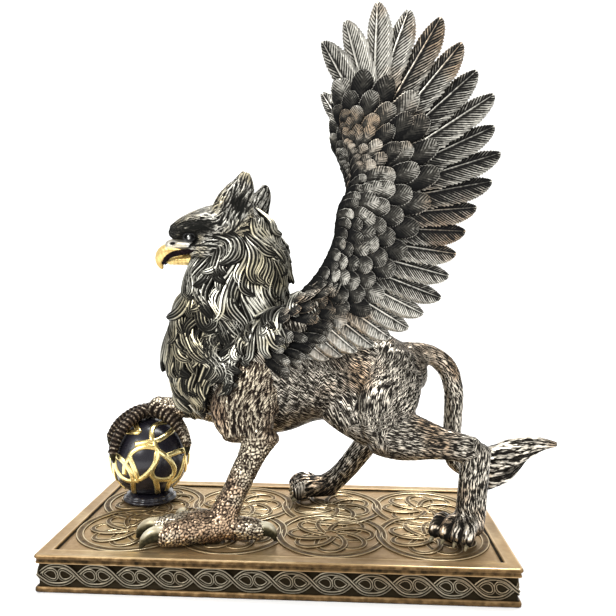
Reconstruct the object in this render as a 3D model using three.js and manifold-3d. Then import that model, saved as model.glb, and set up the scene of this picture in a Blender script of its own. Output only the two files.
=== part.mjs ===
// Griffin figurine: an eagle-headed, maned, winged lion standing on an oblong knotwork plinth, its far
// forefoot resting on a ball bound with straps. Millimetres, +Z up, the griffin faces -X, and the origin
// is the centre of the plinth's underside. Three castings: the plinth, the griffin and the orb.
import * as THREE from 'three';
import { mergeVertices } from 'three/addons/utils/BufferGeometryUtils.js';
import Module from 'manifold-3d';

const wasm = await Module();
wasm.setup();

// Plinth: its outline, the heights of its mouldings, and the sunk panel in its top
const PLINTH_LENGTH = 240;
const PLINTH_DEPTH = 120;
const BASE_MOULDING_HEIGHT = 3;
const FRIEZE_HEIGHT = 11.8;
const TOP_MOULDING_HEIGHT = 4.5;
const BASE_SETBACK = 0.5;
const FRIEZE_SETBACK = 2.4;
const PANEL_BORDER = 8;
const PANEL_SINK = 1.2;

// Frieze knotwork: two zigzag straps on each side, which pass over and under each other by turns
const FRIEZE_KNOT_LENGTH = 21.8;
const FRIEZE_MARGIN = 0.8;
const FRIEZE_STRAP_HALF_WIDTH = 1.1;
const FRIEZE_STRAP_RISE = 1.6;

// Panel knotwork: rows of overlapping rings
const RINGS_ALONG = 4;
const RINGS_ACROSS = 2;
const RING_OVERLAP = 9;
const RING_MARGIN = 5;
const RING_STRAP_HALF_WIDTH = 1.8;
const RING_STRAP_RISE = 1.1;

// Castings are kept this far apart where one stands on or grips another
const CLEARANCE = 0.3;

// Griffin: its height, and the height at which its pose is written below
const FIGURE_HEIGHT = 267;
const POSE_HEIGHT = 267;
const S = FIGURE_HEIGHT / POSE_HEIGHT;

// Orb: a ball on a low foot ring, bound with raised loops of strap
const ORB_RADIUS = 23.4;
const ORB_SINK = 1;
const ORB_FOOT_RADIUS = 14.5;
const ORB_FOOT_FLARE = 1.5;
const ORB_FOOT_HEIGHT = 4;
const ORB_X = -85.5 * S;
const ORB_Y = 25 * S;
const ORB_LOOPS = 5;
const ORB_LOOP_RADIUS = 15;
const ORB_STRAP_HALF_WIDTH = 1.8;
const ORB_STRAP_RISE = 0.9;

// Materials, by the colour and finish of each casting
const BRONZE = { color: 0x6f6a60, roughness: 0.42, metalness: 0.85 };
const COPPER = { color: 0x8a6a48, roughness: 0.4, metalness: 0.85 };
const BLACK_LACQUER = { color: 0x1b1b1e, roughness: 0.3, metalness: 0.4 };

const PLINTH_HEIGHT = BASE_MOULDING_HEIGHT + FRIEZE_HEIGHT + TOP_MOULDING_HEIGHT;
const STANDING_HEIGHT = PLINTH_HEIGHT - PANEL_SINK + RING_STRAP_RISE + CLEARANCE;
const ORB_CENTRE = new THREE.Vector3(ORB_X, ORB_Y, ORB_FOOT_HEIGHT - ORB_SINK + ORB_RADIUS);
const GRIP_RADIUS = ORB_RADIUS + ORB_STRAP_RISE + CLEARANCE;
const ALONG = new THREE.Vector3(1, 0, 0);
const ACROSS = new THREE.Vector3(0, 1, 0);
const UP = new THREE.Vector3(0, 0, 1);
const { clamp, degToRad, lerp, smoothstep } = THREE.MathUtils;

// A closed solid from a geometry, with its shared vertices merged
function solid(geometry) {
  geometry.deleteAttribute('normal');
  geometry.deleteAttribute('uv');
  const merged = mergeVertices(geometry, 1e-4);
  const mesh = new wasm.Mesh({
    numProp: 3,
    vertProperties: new Float32Array(merged.attributes.position.array),
    triVerts: new Uint32Array(merged.index.array),
  });
  return new wasm.Manifold(mesh);
}

function joined(solids) {
  return solids.reduce((whole, next) => whole.add(next));
}

function toMesh(name, body, material) {
  const { vertProperties, triVerts } = body.getMesh();
  const geometry = new THREE.BufferGeometry();
  geometry.setAttribute('position', new THREE.BufferAttribute(vertProperties, 3));
  geometry.setIndex(new THREE.BufferAttribute(triVerts, 1));
  const mesh = new THREE.Mesh(geometry, new THREE.MeshStandardMaterial(material));
  mesh.name = name;
  return mesh;
}

// A box between two corners
function block(low, high) {
  const size = high.clone().sub(low);
  const geometry = new THREE.BoxGeometry(size.x, size.y, size.z);
  geometry.translate(...low.clone().add(high).multiplyScalar(0.5));
  return solid(geometry);
}

// A rounded limb swept along stations [x, y, z, half width, half thickness]. Half width lies along
// `side` and half thickness across it. `nose` is how far each end bulges past its last station, as a
// share of its half thickness. `relief` raises the skin by a height that it works out from the place
// along the limb and the turn round it.
function limb(stations, options = {}) {
  const { sides = 8, rings = 6, nose = [0.5, 0.5], side = ACROSS, scale = S, relief = () => 0 } = options;
  const centres = stations.map(([x, y, z]) => new THREE.Vector3(x, y, z).multiplyScalar(scale));
  const path = new THREE.CatmullRomCurve3(centres, false, 'centripetal');
  const sizes = stations.map((station) => new THREE.Vector2(station[3], station[4]).multiplyScalar(scale));
  const halves = new THREE.SplineCurve(sizes);
  const geometry = new THREE.SphereGeometry(1, sides, rings + 1);
  for (let row = 0; row <= rings + 1; row += 1) {
    const t = clamp((row - 1) / (rings - 1), 0, 1);
    const along = path.getTangent(t);
    const across = side.clone().addScaledVector(along, -side.dot(along)).normalize();
    const over = along.clone().cross(across);
    const [halfWidth, halfThickness] = halves.getPoint(t).toArray();
    const bulge = Math.min(halfWidth, halfThickness);
    for (let column = 0; column <= sides; column += 1) {
      const turn = (2 * Math.PI * column) / sides;
      const proud = relief(t, turn) * scale;
      const point = path.getPoint(t);
      if (row === 0) {
        point.addScaledVector(along, -nose[0] * bulge);
      } else if (row > rings) {
        point.addScaledVector(along, nose[1] * bulge);
      } else {
        point.addScaledVector(across, -(halfWidth + proud) * Math.cos(turn));
        point.addScaledVector(over, (halfThickness + proud) * Math.sin(turn));
      }
      geometry.attributes.position.setXYZ(row * (sides + 1) + column, ...point);
    }
  }
  return solid(geometry);
}

// Body and neck

const TORSO = [
  [73, 0, 88, 14, 14],
  [66, 0, 86, 20, 19.5],
  [52, 0, 84, 22, 23],
  [36, 0, 81, 20, 25.5],
  [18, 0, 80, 22, 27],
  [0, 0, 83, 25, 31],
  [-16, 0, 84, 26, 34],
  [-32, 0, 82, 24, 27],
  [-42, 0, 80, 18, 18],
];
const NECK = [
  [-52, 0, 67, 12, 12],
  [-47, 0, 75, 20, 23.5],
  [-41, 0, 88, 24.5, 30.5],
  [-35, 0, 105, 25.5, 33],
  [-31, 0, 121, 24.5, 32],
  [-27.5, 0, 136, 22, 30.5],
  [-26, 0, 150, 18.5, 26.5],
  [-31, 0, 162, 14, 20],
];

// The mane is the neck's skin raised into locks. Each lock swells towards its pointed lower end, where
// the row below it starts again from the skin. Alternate rows are staggered by half a lock.
const LOCK_ROWS = 4;
const LOCKS_AROUND = 10;
const LOCK_PROUD = 7;
const LOCK_FACETS_ALONG = 3;

function manedNeck() {
  const relief = (t, turn) => {
    const row = (1 - t) * LOCK_ROWS;
    const stagger = Math.floor(row) % 2 ? Math.PI / LOCKS_AROUND : 0;
    const crest = 0.625 + 0.375 * Math.cos((turn + stagger) * LOCKS_AROUND);
    const fade = Math.sqrt(Math.sin(Math.PI * Math.min(1, 1.15 * t + 0.1)));
    return LOCK_PROUD * (row - Math.floor(row)) * crest * fade;
  };
  return limb(NECK, { sides: 2 * LOCKS_AROUND, rings: LOCK_ROWS * LOCK_FACETS_ALONG + 1, relief });
}

// Head: skull, hooked beak, brows, eyes and upright ears

const SKULL = [
  [-14, 0, 161, 9, 8],
  [-24, 0, 164, 14, 13.5],
  [-36, 0, 165.5, 15, 14],
  [-48, 0, 165, 13.5, 12.5],
  [-58, 0, 163, 10, 9.5],
  [-63, 0, 160.5, 6.5, 6.5],
];
const UPPER_BEAK = [
  [-47, 0, 155.5, 6.5, 6.5],
  [-55, 0, 153.5, 5.5, 6],
  [-63, 0, 154, 4.4, 4.8],
  [-69, 0, 152, 3.3, 3.8],
  [-72.3, 0, 148, 2.2, 2.4],
  [-72, 0, 143.8, 0.9, 0.9],
];
const LOWER_BEAK = [
  [-43, 0, 151, 5.6, 5.4],
  [-57, 0, 148.6, 4, 3.2],
  [-66, 0, 146.8, 2.4, 1.8],
];
const NEAR_EAR = [
  [-29, -9.5, 170, 4.5, 12.5],
  [-27, -11, 181, 3.8, 9],
  [-23.5, -12, 190, 2, 4],
];
const FAR_EAR = [
  [-22, 9.5, 169, 4.5, 9.5],
  [-18.5, 12, 178, 3.6, 7.4],
  [-14.5, 14, 187, 2, 3.4],
];
const EYE_RADIUS = 2.6;

function brow(hand) {
  const [inner, middle] = [[-63, 4 * hand, 165, 3, 3], [-56, 9.5 * hand, 166, 3.6, 3.4]];
  return limb([inner, middle, [-45, 12.5 * hand, 169, 3, 3]], { sides: 4, rings: 4 });
}

function eye(hand) {
  const geometry = new THREE.SphereGeometry(EYE_RADIUS * S, 6, 4);
  geometry.translate(-53 * S, 10.6 * hand * S, 160 * S);
  return solid(geometry);
}

function head() {
  return [
    limb(SKULL),
    limb(UPPER_BEAK, { sides: 6, nose: [0.3, 2] }),
    limb(LOWER_BEAK, { sides: 6, rings: 3 }),
    limb(NEAR_EAR, { sides: 6, rings: 4, nose: [0.2, 2.4] }),
    limb(FAR_EAR, { sides: 6, rings: 4, nose: [0.2, 2.4] }),
    brow(-1),
    brow(1),
    eye(-1),
    eye(1),
  ];
}

// Legs. The near legs stand, the far hind leg steps forward, and the far foreleg reaches to the orb.

const NEAR_THIGH = [
  [60, -8, 92, 12, 16],
  [58, -14, 80, 13.5, 17.5],
  [55, -19, 66, 12.5, 16],
  [55, -22, 54, 9.5, 12],
];
const NEAR_SHANK = [
  [54, -22, 54, 9, 10],
  [66, -24, 51.5, 8.5, 9.5],
  [80, -26, 51.5, 7, 8.5],
  [92, -28, 50, 6.3, 7.5],
  [101, -29, 48, 6, 7],
];
const NEAR_HOCK = [
  [102, -29, 49, 6, 7.5],
  [101.5, -29.5, 37, 6, 7.4],
  [99, -30, 25, 6, 6.4],
  [97, -30.5, 13, 6.5, 6.6],
  [95, -31, 7, 8, 8],
];
const FAR_THIGH = [
  [58, 8, 92, 12, 16],
  [54, 14, 80, 13, 16.5],
  [48, 19, 67, 12, 14],
  [45, 22, 58, 9.5, 10.5],
];
const FAR_SHANK = [[45, 22, 59, 8.5, 9.5], [50, 26, 51, 7.5, 8.5], [54, 29, 43, 6.5, 7.5]];
const FAR_HOCK = [
  [54, 29, 44, 6.3, 7.5],
  [45, 30.5, 32, 6.2, 7.2],
  [37, 32, 21, 6, 6.8],
  [29, 33.5, 12, 6.5, 6.8],
  [22, 34, 7, 7.5, 7],
];
const NEAR_ARM = [
  [-14, -13, 90, 13, 18],
  [-17, -18, 77, 12.5, 17.5],
  [-17, -22.5, 64, 11, 15],
  [-14, -25.5, 54, 8.5, 10],
];
const NEAR_FORELEG = [
  [-10.5, -26.5, 55, 7.4, 10.5],
  [-15, -28, 44, 6.2, 7.2],
  [-20, -30, 33, 5.8, 6.6],
  [-25, -32, 22, 5.8, 6.4],
  [-30, -34, 11, 7, 7.5],
  [-33, -35, 6.5, 8, 6.5],
];

function standingLegs() {
  return [
    limb(NEAR_THIGH, { rings: 5, nose: [0.5, 0.9] }),
    limb(NEAR_SHANK, { rings: 5, nose: [0.8, 0.8] }),
    limb(NEAR_HOCK, { rings: 5, nose: [0.8, 0.5] }),
    limb(FAR_THIGH, { rings: 5, nose: [0.5, 0.9] }),
    limb(FAR_SHANK, { rings: 4, nose: [0.5, 0.8] }),
    limb(FAR_HOCK, { rings: 5, nose: [0.8, 0.5] }),
    limb(NEAR_ARM, { rings: 5, nose: [0.5, 0.9] }),
    limb(NEAR_FORELEG, { nose: [0.8, 0.5] }),
  ];
}

// A lion's paw, pointing along `heading` in degrees from +X, with rounded toes raised in its front
// part. Its stations are [forward of the ankle, z, half width, half height].
const PAW = [[-12, 6, 5.5, 5.5], [-5, 7, 8, 7], [3, 7, 9.6, 7], [9, 6, 10.2, 6.4], [13.5, 4.4, 9.4, 4.8]];
const PAW_TOES = 4;
const PAW_TOE_PROUD = 1.3;

function paw(x, y, heading) {
  const ahead = ALONG.clone().applyAxisAngle(UP, degToRad(heading));
  const stations = PAW.map(([forward, z, a, b]) => [x + forward * ahead.x, y + forward * ahead.y, z, a, b]);
  const relief = (t, turn) => -PAW_TOE_PROUD * smoothstep(t, 0.4, 0.8) * Math.cos(2 * PAW_TOES * turn);
  return limb(stations, { sides: 4 * PAW_TOES, rings: 5, side: UP.clone().cross(ahead), relief });
}

// The near forefoot: three thick toes ahead and one behind, each ending in a hooked talon
const NEAR_OUTER_TOE = [
  [-31, -35, 7, 7, 7.5],
  [-43, -40, 6.4, 6.2, 6.6],
  [-53, -44, 5.8, 5.6, 6],
  [-61, -47, 5, 3.4, 3.6],
  [-68, -49.5, 2, 1.3, 1.3],
];
const NEAR_MIDDLE_TOE = [
  [-31, -34, 8, 7, 8],
  [-45, -34.5, 6.8, 6, 6.4],
  [-57, -35.4, 6, 5.4, 5.8],
  [-66, -36, 5, 3.3, 3.6],
  [-74, -36.6, 2, 1.3, 1.3],
];
const NEAR_INNER_TOE = [
  [-31, -33, 7, 6.5, 7],
  [-40, -27, 6.2, 5.6, 6],
  [-48, -22, 5.6, 5, 5.4],
  [-54, -18, 4.6, 3.2, 3.4],
  [-58, -15.4, 1.8, 1.2, 1.2],
];
const NEAR_HIND_TOE = [
  [-30, -34.5, 7, 6.5, 7],
  [-21, -34.5, 6, 5.6, 5.8],
  [-13, -34.8, 5.6, 5, 5.2],
  [-8, -35, 4.4, 3, 3.2],
  [-4, -35.2, 1.6, 1.2, 1.2],
];

function nearForefoot() {
  const toes = [NEAR_OUTER_TOE, NEAR_MIDDLE_TOE, NEAR_INNER_TOE, NEAR_HIND_TOE];
  return toes.map((stations) => limb(stations, { sides: 6, rings: 4, nose: [0.3, 1.2] }));
}

// The far forefoot lies over the top of the orb, and its toes run down the ball. Each toe has a bearing
// from +X, and the angles from the top of the ball at which it starts and ends, in degrees. Those that
// point away from the palm start on its side of the top, inside it.
const GRIP_TOES = [
  { bearing: 178, from: -2, to: 72 },
  { bearing: 232, from: -2, to: 82 },
  { bearing: 345, from: 8, to: 78 },
  { bearing: 105, from: -2, to: 74 },
];
const GRIP_TOE_HALVES = [4.6, 4.2, 3.7, 2.5, 1.1];
const PALM_TILT = 12;
const PALM_HALF_THICKNESS = 6;

// A point in the griffin's own pose, `proud` of the orb's straps, at a bearing and an angle from the top
function onOrb(bearing, fromTop, proud) {
  const [b, p] = [degToRad(bearing), degToRad(fromTop)];
  const spoke = new THREE.Vector3(Math.sin(p) * Math.cos(b), Math.sin(p) * Math.sin(b), Math.cos(p));
  return ORB_CENTRE.clone().addScaledVector(spoke, GRIP_RADIUS + proud * S).divideScalar(S).toArray();
}

function reachingForeleg() {
  const [palmX, palmY, palmZ] = onOrb(0, PALM_TILT, 1.1 * PALM_HALF_THICKNESS);
  const arm = limb([
    [-18, 11, 82, 12, 17],
    [-29, 16, 69, 10.5, 14],
    [-41, 20, 59, 8.6, 10.5],
    [-54, 23, palmZ + 0.8, 7, 7],
    [-66, 24.5, palmZ, 6.6, 6],
    [palmX, palmY, palmZ, 7.4, PALM_HALF_THICKNESS],
  ], { rings: 7, nose: [0.5, 0.8] });
  const toes = GRIP_TOES.map(({ bearing, from, to }) => {
    const stations = GRIP_TOE_HALVES.map((half, k) => {
      const fromTop = lerp(from, to, k / (GRIP_TOE_HALVES.length - 1));
      return [...onOrb(bearing, fromTop, 1.06 * half), half, half];
    });
    const side = ACROSS.clone().applyAxisAngle(UP, degToRad(bearing));
    return limb(stations, { sides: 6, rings: 5, nose: [0.4, 1.2], side });
  });
  return [arm, ...toes];
}

// Tail: out of the rump, down behind the near hock, and out to the right in a twisted, flame-shaped tuft

const TAIL = [
  [68, 0, 95, 7, 7],
  [80, 1, 95, 5.4, 5.6],
  [90.5, 2, 88, 5.4, 6],
  [95, 3, 76, 5.4, 6],
  [95.5, 4, 60, 5.2, 5.8],
  [95, 4, 46, 4.8, 5.2],
  [97, 5, 33, 4.5, 4.8],
  [106, 5, 27, 4.4, 4.6],
];
const TUFT = [
  [103, 5, 27, 4, 4.5],
  [113, 5, 29, 5.5, 10.5],
  [122, 4, 34, 6, 11.5],
  [132, 3, 40, 5, 8],
  [143, 2, 44.5, 3.6, 4.2],
  [152, 1, 45, 2, 1.8],
];
const TUFT_LOCKS = 4;
const TUFT_LOCK_PROUD = 1.6;
const TUFT_TWIST = 1.4;

function tail() {
  const relief = (t, turn) => {
    const wind = TUFT_LOCKS * turn + 2 * Math.PI * TUFT_TWIST * t;
    return TUFT_LOCK_PROUD * Math.sin(Math.PI * t) * Math.cos(wind);
  };
  return [
    limb(TAIL, { sides: 6, rings: 9 }),
    limb(TUFT, { sides: 2 * TUFT_LOCKS, rings: 8, nose: [0.4, 2], relief }),
  ];
}

// Wings. Feathers run from the wing's thick front edge to points along its rim, both given as [x, z].
// The wing leans outward as it rises, and the far one also leans a little forward.

const FEATHERS = 20;
const WING_EDGE = [[-12, 111], [4, 123.5], [20, 139.5], [29, 158.5], [31, 172.5], [37, 187], [34, 204]];
const WING_RIM = [
  [17, 92], [47, 100], [74, 118], [90, 147], [100, 171], [108, 203],
  [99, 237], [75, 260], [53, 266], [33, 263], [16, 244],
];
const SHOULDER = [[-14, 96, 9, 7], [-7, 102, 12, 10], [4, 112, 11, 9], [18, 126, 7, 5.5]];
const WING_ROOT_Y = 23;
const WING_FOOT_Z = 116;
const WING_LEAN = Math.tan(degToRad(9.5));
const FAR_WING_ADVANCE = 0.022;
const SHAFT_PROUD = 0.9;

// Lines of vertices across the feathers of each row. `reach` is a share of the way from edge to rim,
// and `point` is how far a feather's point stands out beyond it. `half` is half the wing's thickness
// there, at the shoulder and at the wing's tip. A line `under` a row follows the points of that row.
const FEATHER_LINES = [
  { row: 0, reach: 0, point: 0, half: [8, 3.5] },
  { row: 0, reach: 0.26, point: 0.03, half: [4, 4] },
  { row: 1, reach: 0.266, point: 0.03, half: [3, 3], under: true },
  { row: 1, reach: 0.49, point: 0.04, half: [3, 3] },
  { row: 2, reach: 0.496, point: 0.04, half: [1.6, 1.6], under: true },
  { row: 2, reach: 0.945, point: 0.05, half: [0.9, 0.9] },
];

// Feathers crowd together where the edge bends at the wrist, and spread along the top of the rim
const edgeShare = (u) => u * (1.6 - 0.6 * u);
const rimShare = (u) => u ** 1.3;

function flatCurve(points) {
  const vectors = points.map(([x, z]) => new THREE.Vector3(x, 0, z));
  return new THREE.CatmullRomCurve3(vectors, false, 'centripetal');
}

function wing(hand) {
  const [edge, rim] = [flatCurve(WING_EDGE), flatCurve(WING_RIM)];
  const place = (x, z) => {
    const rise = z - WING_FOOT_Z;
    const advance = hand > 0 ? FAR_WING_ADVANCE * rise : 0;
    return new THREE.Vector3(x - advance, hand * (WING_ROOT_Y + WING_LEAN * rise), z);
  };
  const through = new THREE.Vector3(0, 1, -hand * WING_LEAN).normalize();

  // A slab with one column of vertices down each feather's shaft and one down each gap
  const [columns, rows] = [2 * FEATHERS, FEATHER_LINES.length - 1];
  const geometry = new THREE.BoxGeometry(1, 1, 1, columns, rows, 1);
  const position = geometry.attributes.position;
  for (let i = 0; i < position.count; i += 1) {
    const column = Math.round((position.getX(i) + 0.5) * columns);
    const line = FEATHER_LINES[Math.round((position.getY(i) + 0.5) * rows)];
    const { row, reach, point, half, under = false } = line;
    const u = column / columns;
    const onShaft = (column + row) % 2 === 1;
    const share = onShaft === under ? reach - point : reach + point;
    const spot = edge.getPointAt(edgeShare(u)).lerp(rim.getPointAt(rimShare(u)), share);
    const proud = lerp(...half, u) + (onShaft ? SHAFT_PROUD : 0);
    const vertex = place(spot.x, spot.z).addScaledVector(through, Math.sign(position.getZ(i)) * proud);
    position.setXYZ(i, ...vertex.multiplyScalar(S));
  }
  const shoulder = SHOULDER.map(([x, z, a, b]) => [...place(x, z), a, b]);
  return [limb(shoulder, { sides: 6, rings: 5, nose: [0.8, 1], side: ALONG }), solid(geometry)];
}

// The griffin stands with its soles cut flat, and grips the orb without touching it
function griffin() {
  const parts = [
    limb(TORSO, { sides: 12, rings: 8 }),
    manedNeck(),
    ...standingLegs(),
    paw(93, -33, 208),
    paw(16, 33, 190),
    ...nearForefoot(),
    ...reachingForeleg(),
    ...tail(),
    ...head(),
    ...wing(-1),
    ...wing(1),
  ];
  const reach = 2 * (PLINTH_LENGTH + FIGURE_HEIGHT);
  const ground = block(new THREE.Vector3(-reach, -reach, -reach), new THREE.Vector3(reach, reach, 0));
  const grip = new THREE.SphereGeometry(GRIP_RADIUS, 18, 10);
  grip.translate(...ORB_CENTRE);
  return joined(parts).subtract(ground).subtract(solid(grip));
}

// The orb on its foot ring. Its straps are overlapping loops round its middle, with ridged backs.
function orb() {
  const ball = new THREE.SphereGeometry(ORB_RADIUS, 12, 7);
  ball.rotateX(Math.PI / 2);
  const onBall = (angle, rise) =>
    new THREE.Vector2(Math.sin(angle), Math.cos(angle)).multiplyScalar(ORB_RADIUS + rise);
  const opening = Math.asin(ORB_LOOP_RADIUS / ORB_RADIUS);
  const halfWidth = Math.asin(ORB_STRAP_HALF_WIDTH / ORB_RADIUS);
  const inner = onBall(opening - halfWidth, -2 * ORB_STRAP_RISE);
  const outer = onBall(opening + halfWidth, -2 * ORB_STRAP_RISE);
  const section = [inner, outer, onBall(opening, ORB_STRAP_RISE), inner];
  const loops = Array.from({ length: ORB_LOOPS }, (_, k) => {
    const loop = new THREE.LatheGeometry(section, 8);
    loop.rotateZ((2 * Math.PI * k) / ORB_LOOPS - Math.PI / 2);
    return solid(loop);
  });
  const footBase = ORB_FOOT_RADIUS + ORB_FOOT_FLARE;
  const foot = new THREE.CylinderGeometry(ORB_FOOT_RADIUS, footBase, ORB_FOOT_HEIGHT, 16);
  foot.rotateX(Math.PI / 2);
  foot.translate(ORB_X, ORB_Y, ORB_FOOT_HEIGHT / 2);
  return joined([solid(ball), ...loops]).translate(...ORB_CENTRE).add(solid(foot));
}

// The straps of one side of the frieze, centred on `middle`. Each piece of strap runs from a crossing,
// where it dives under, over the next one, and dives again at the one after. Places count half waves
// from the end, so the straps cross at every half.
function friezeStraps(length, middle, direction) {
  const knots = Math.round(length / FRIEZE_KNOT_LENGTH);
  const swing = FRIEZE_HEIGHT / 2 - FRIEZE_MARGIN - FRIEZE_STRAP_HALF_WIDTH;
  const crossing = 2 * Math.atan((2 * swing * knots) / length);
  const dive = (2.8 * FRIEZE_STRAP_HALF_WIDTH * knots) / (length * Math.sin(crossing));
  const station = (place, hand) => {
    const before = Math.floor(place);
    const height = hand * swing * (before % 2 ? -1 : 1) * (1 - 2 * (place - before));
    const spot = middle.clone().addScaledVector(direction, (place / knots - 0.5) * length);
    return [spot.x, spot.y, spot.z + height, FRIEZE_STRAP_HALF_WIDTH, FRIEZE_STRAP_RISE];
  };
  const pieces = [];
  for (const hand of [-1, 1]) {
    for (let start = hand > 0 ? -1 : -2; start < knots; start += 2) {
      const places = [start + 0.5 + dive, start + 1, start + 2, start + 2.5 - dive];
      const inSide = places.filter((place) => place >= 0 && place <= knots);
      const stations = inSide.map((place) => station(place, hand));
      const shape = { sides: 4, rings: stations.length, nose: [0.1, 0.1], side: UP, scale: 1 };
      if (stations.length > 1) pieces.push(limb(stations, shape));
    }
  }
  return pieces;
}

// The rings of the panel, spread evenly inside its margin
function panelRings() {
  const edge = PANEL_BORDER + RING_MARGIN;
  const [length, depth] = [PLINTH_LENGTH - 2 * edge, PLINTH_DEPTH - 2 * edge];
  const radius = (depth + (RINGS_ACROSS - 1) * RING_OVERLAP) / (2 * RINGS_ACROSS);
  const spread = (k, count, size) => (k / (count - 1) - 0.5) * (size - 2 * radius);
  const rings = [];
  for (let i = 0; i < RINGS_ALONG; i += 1) {
    for (let j = 0; j < RINGS_ACROSS; j += 1) {
      const ring = new THREE.TorusGeometry(radius, RING_STRAP_HALF_WIDTH, 4, 10);
      ring.scale(1, 1, RING_STRAP_RISE / RING_STRAP_HALF_WIDTH);
      const [x, y] = [spread(i, RINGS_ALONG, length), spread(j, RINGS_ACROSS, depth)];
      ring.translate(x, y, PLINTH_HEIGHT - PANEL_SINK);
      rings.push(solid(ring));
    }
  }
  return joined(rings);
}

// The plinth: three mouldings, the straps of the frieze, and the sunk panel with its rings
function plinth() {
  const slab = (setback, low, high) => {
    const [x, y] = [PLINTH_LENGTH / 2 - setback, PLINTH_DEPTH / 2 - setback];
    return block(new THREE.Vector3(-x, -y, low), new THREE.Vector3(x, y, high));
  };
  const friezeTop = BASE_MOULDING_HEIGHT + FRIEZE_HEIGHT;
  const friezeMiddle = BASE_MOULDING_HEIGHT + FRIEZE_HEIGHT / 2;
  const [endX, sideY] = [PLINTH_LENGTH / 2 - FRIEZE_SETBACK, PLINTH_DEPTH / 2 - FRIEZE_SETBACK];
  const straps = [-1, 1].flatMap((hand) => [
    ...friezeStraps(2 * endX, new THREE.Vector3(0, hand * sideY, friezeMiddle), ALONG),
    ...friezeStraps(2 * sideY, new THREE.Vector3(hand * endX, 0, friezeMiddle), ACROSS),
  ]);
  const whole = joined([
    slab(BASE_SETBACK, 0, BASE_MOULDING_HEIGHT),
    slab(FRIEZE_SETBACK, BASE_MOULDING_HEIGHT / 2, friezeTop + TOP_MOULDING_HEIGHT / 2),
    slab(0, friezeTop, PLINTH_HEIGHT),
    ...straps,
  ]);
  const panel = slab(PANEL_BORDER, PLINTH_HEIGHT - PANEL_SINK, PLINTH_HEIGHT + 1);
  return whole.subtract(panel).add(panelRings());
}

const statue = new THREE.Group();
const griffinMesh = toMesh('griffin', griffin(), BRONZE);
const orbMesh = toMesh('orb', orb(), BLACK_LACQUER);
griffinMesh.position.z = STANDING_HEIGHT;
orbMesh.position.z = STANDING_HEIGHT;
statue.add(toMesh('plinth', plinth(), COPPER), griffinMesh, orbMesh);
export default statue;
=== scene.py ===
import math

import bpy
import numpy as np
from mathutils import Matrix, Vector
from mathutils.bvhtree import BVHTree
from mathutils.kdtree import KDTree


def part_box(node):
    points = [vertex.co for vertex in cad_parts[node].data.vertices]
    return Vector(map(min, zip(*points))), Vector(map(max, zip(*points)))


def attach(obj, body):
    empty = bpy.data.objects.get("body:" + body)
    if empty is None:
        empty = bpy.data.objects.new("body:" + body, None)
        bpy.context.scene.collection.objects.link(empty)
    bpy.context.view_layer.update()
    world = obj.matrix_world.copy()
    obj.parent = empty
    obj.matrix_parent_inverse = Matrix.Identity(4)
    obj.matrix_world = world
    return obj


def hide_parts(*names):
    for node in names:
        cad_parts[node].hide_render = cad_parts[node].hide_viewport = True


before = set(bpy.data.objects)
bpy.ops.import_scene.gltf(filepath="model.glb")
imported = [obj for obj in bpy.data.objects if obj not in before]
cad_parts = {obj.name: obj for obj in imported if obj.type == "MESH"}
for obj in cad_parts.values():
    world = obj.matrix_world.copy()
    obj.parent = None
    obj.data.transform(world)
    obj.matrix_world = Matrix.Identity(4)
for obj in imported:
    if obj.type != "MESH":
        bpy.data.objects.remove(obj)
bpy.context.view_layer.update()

MM = 0.001
scene = bpy.context.scene

# The view: the photograph's camera, in front of the griffin's near side and a little above its middle.
# It is worked out for an image of 616 by 616.
IMAGE_PIXELS = 616
FOCAL_PIXELS = 660
SENSOR_WIDTH = 36
CAMERA_PLACE = Vector((30.4, -371.5, 160.4)) * MM
YAW, PITCH, ROLL = (math.radians(angle) for angle in (-2.76, 3.19, 0.5))


def linked(name, data):
    """An object that holds the data, put into the scene"""
    made = bpy.data.objects.new(name, data)
    scene.collection.objects.link(made)
    return made


ahead = Vector((math.sin(YAW) * math.cos(PITCH), math.cos(YAW) * math.cos(PITCH), -math.sin(PITCH)))
level = ahead.cross(Vector((0, 0, 1))).normalized()
upright = level.cross(ahead)
right = level * math.cos(ROLL) + upright * math.sin(ROLL)
above = upright * math.cos(ROLL) - level * math.sin(ROLL)
camera = linked("camera", bpy.data.cameras.new("camera"))
camera.data.sensor_width = SENSOR_WIDTH
camera.data.lens = FOCAL_PIXELS * SENSOR_WIDTH / IMAGE_PIXELS
camera.data.clip_start = 0.01
camera.matrix_world = Matrix.Translation(CAMERA_PLACE) @ Matrix((right, above, -ahead)).transposed().to_4x4()
scene.camera = camera
scene.view_settings.view_transform = "Standard"

# The studio: a pale floor that curves up into a wall, white light all round, and three soft lamps.
FLOOR_HALF_WIDTH = 2500
FLOOR_FRONT = -1800
FLOOR_BACK = 700
WALL_CURVE = 500
WALL_TOP = 2200


def fill(tree, made, inputs):
    """Puts values, or other nodes' outputs, into a node's inputs"""
    for key, value in inputs.items():
        if isinstance(value, bpy.types.NodeSocket):
            tree.links.new(value, made.inputs[key])
        else:
            made.inputs[key].default_value = value


def node(tree, kind, inputs=None, **settings):
    """A node with its settings, and with values or other nodes' outputs in its inputs"""
    made = tree.nodes.new(kind)
    for name, value in settings.items():
        setattr(made, name, value)
    fill(tree, made, inputs or {})
    return made


def new_material(name):
    """A material, its node tree, and the shader in it"""
    material = bpy.data.materials.new(name)
    material.use_nodes = True
    return material, material.node_tree, material.node_tree.nodes["Principled BSDF"]


def add_attributes(mesh, attributes):
    """Gives a mesh a number or a vector at each point, under each attribute's name"""
    for key, values in attributes.items():
        values = np.asarray(values, np.float32)
        kind, field = ("FLOAT", "value") if values.ndim == 1 else ("FLOAT_VECTOR", "vector")
        mesh.attributes.new(key, kind, "POINT").data.foreach_set(field, values.ravel())


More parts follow.
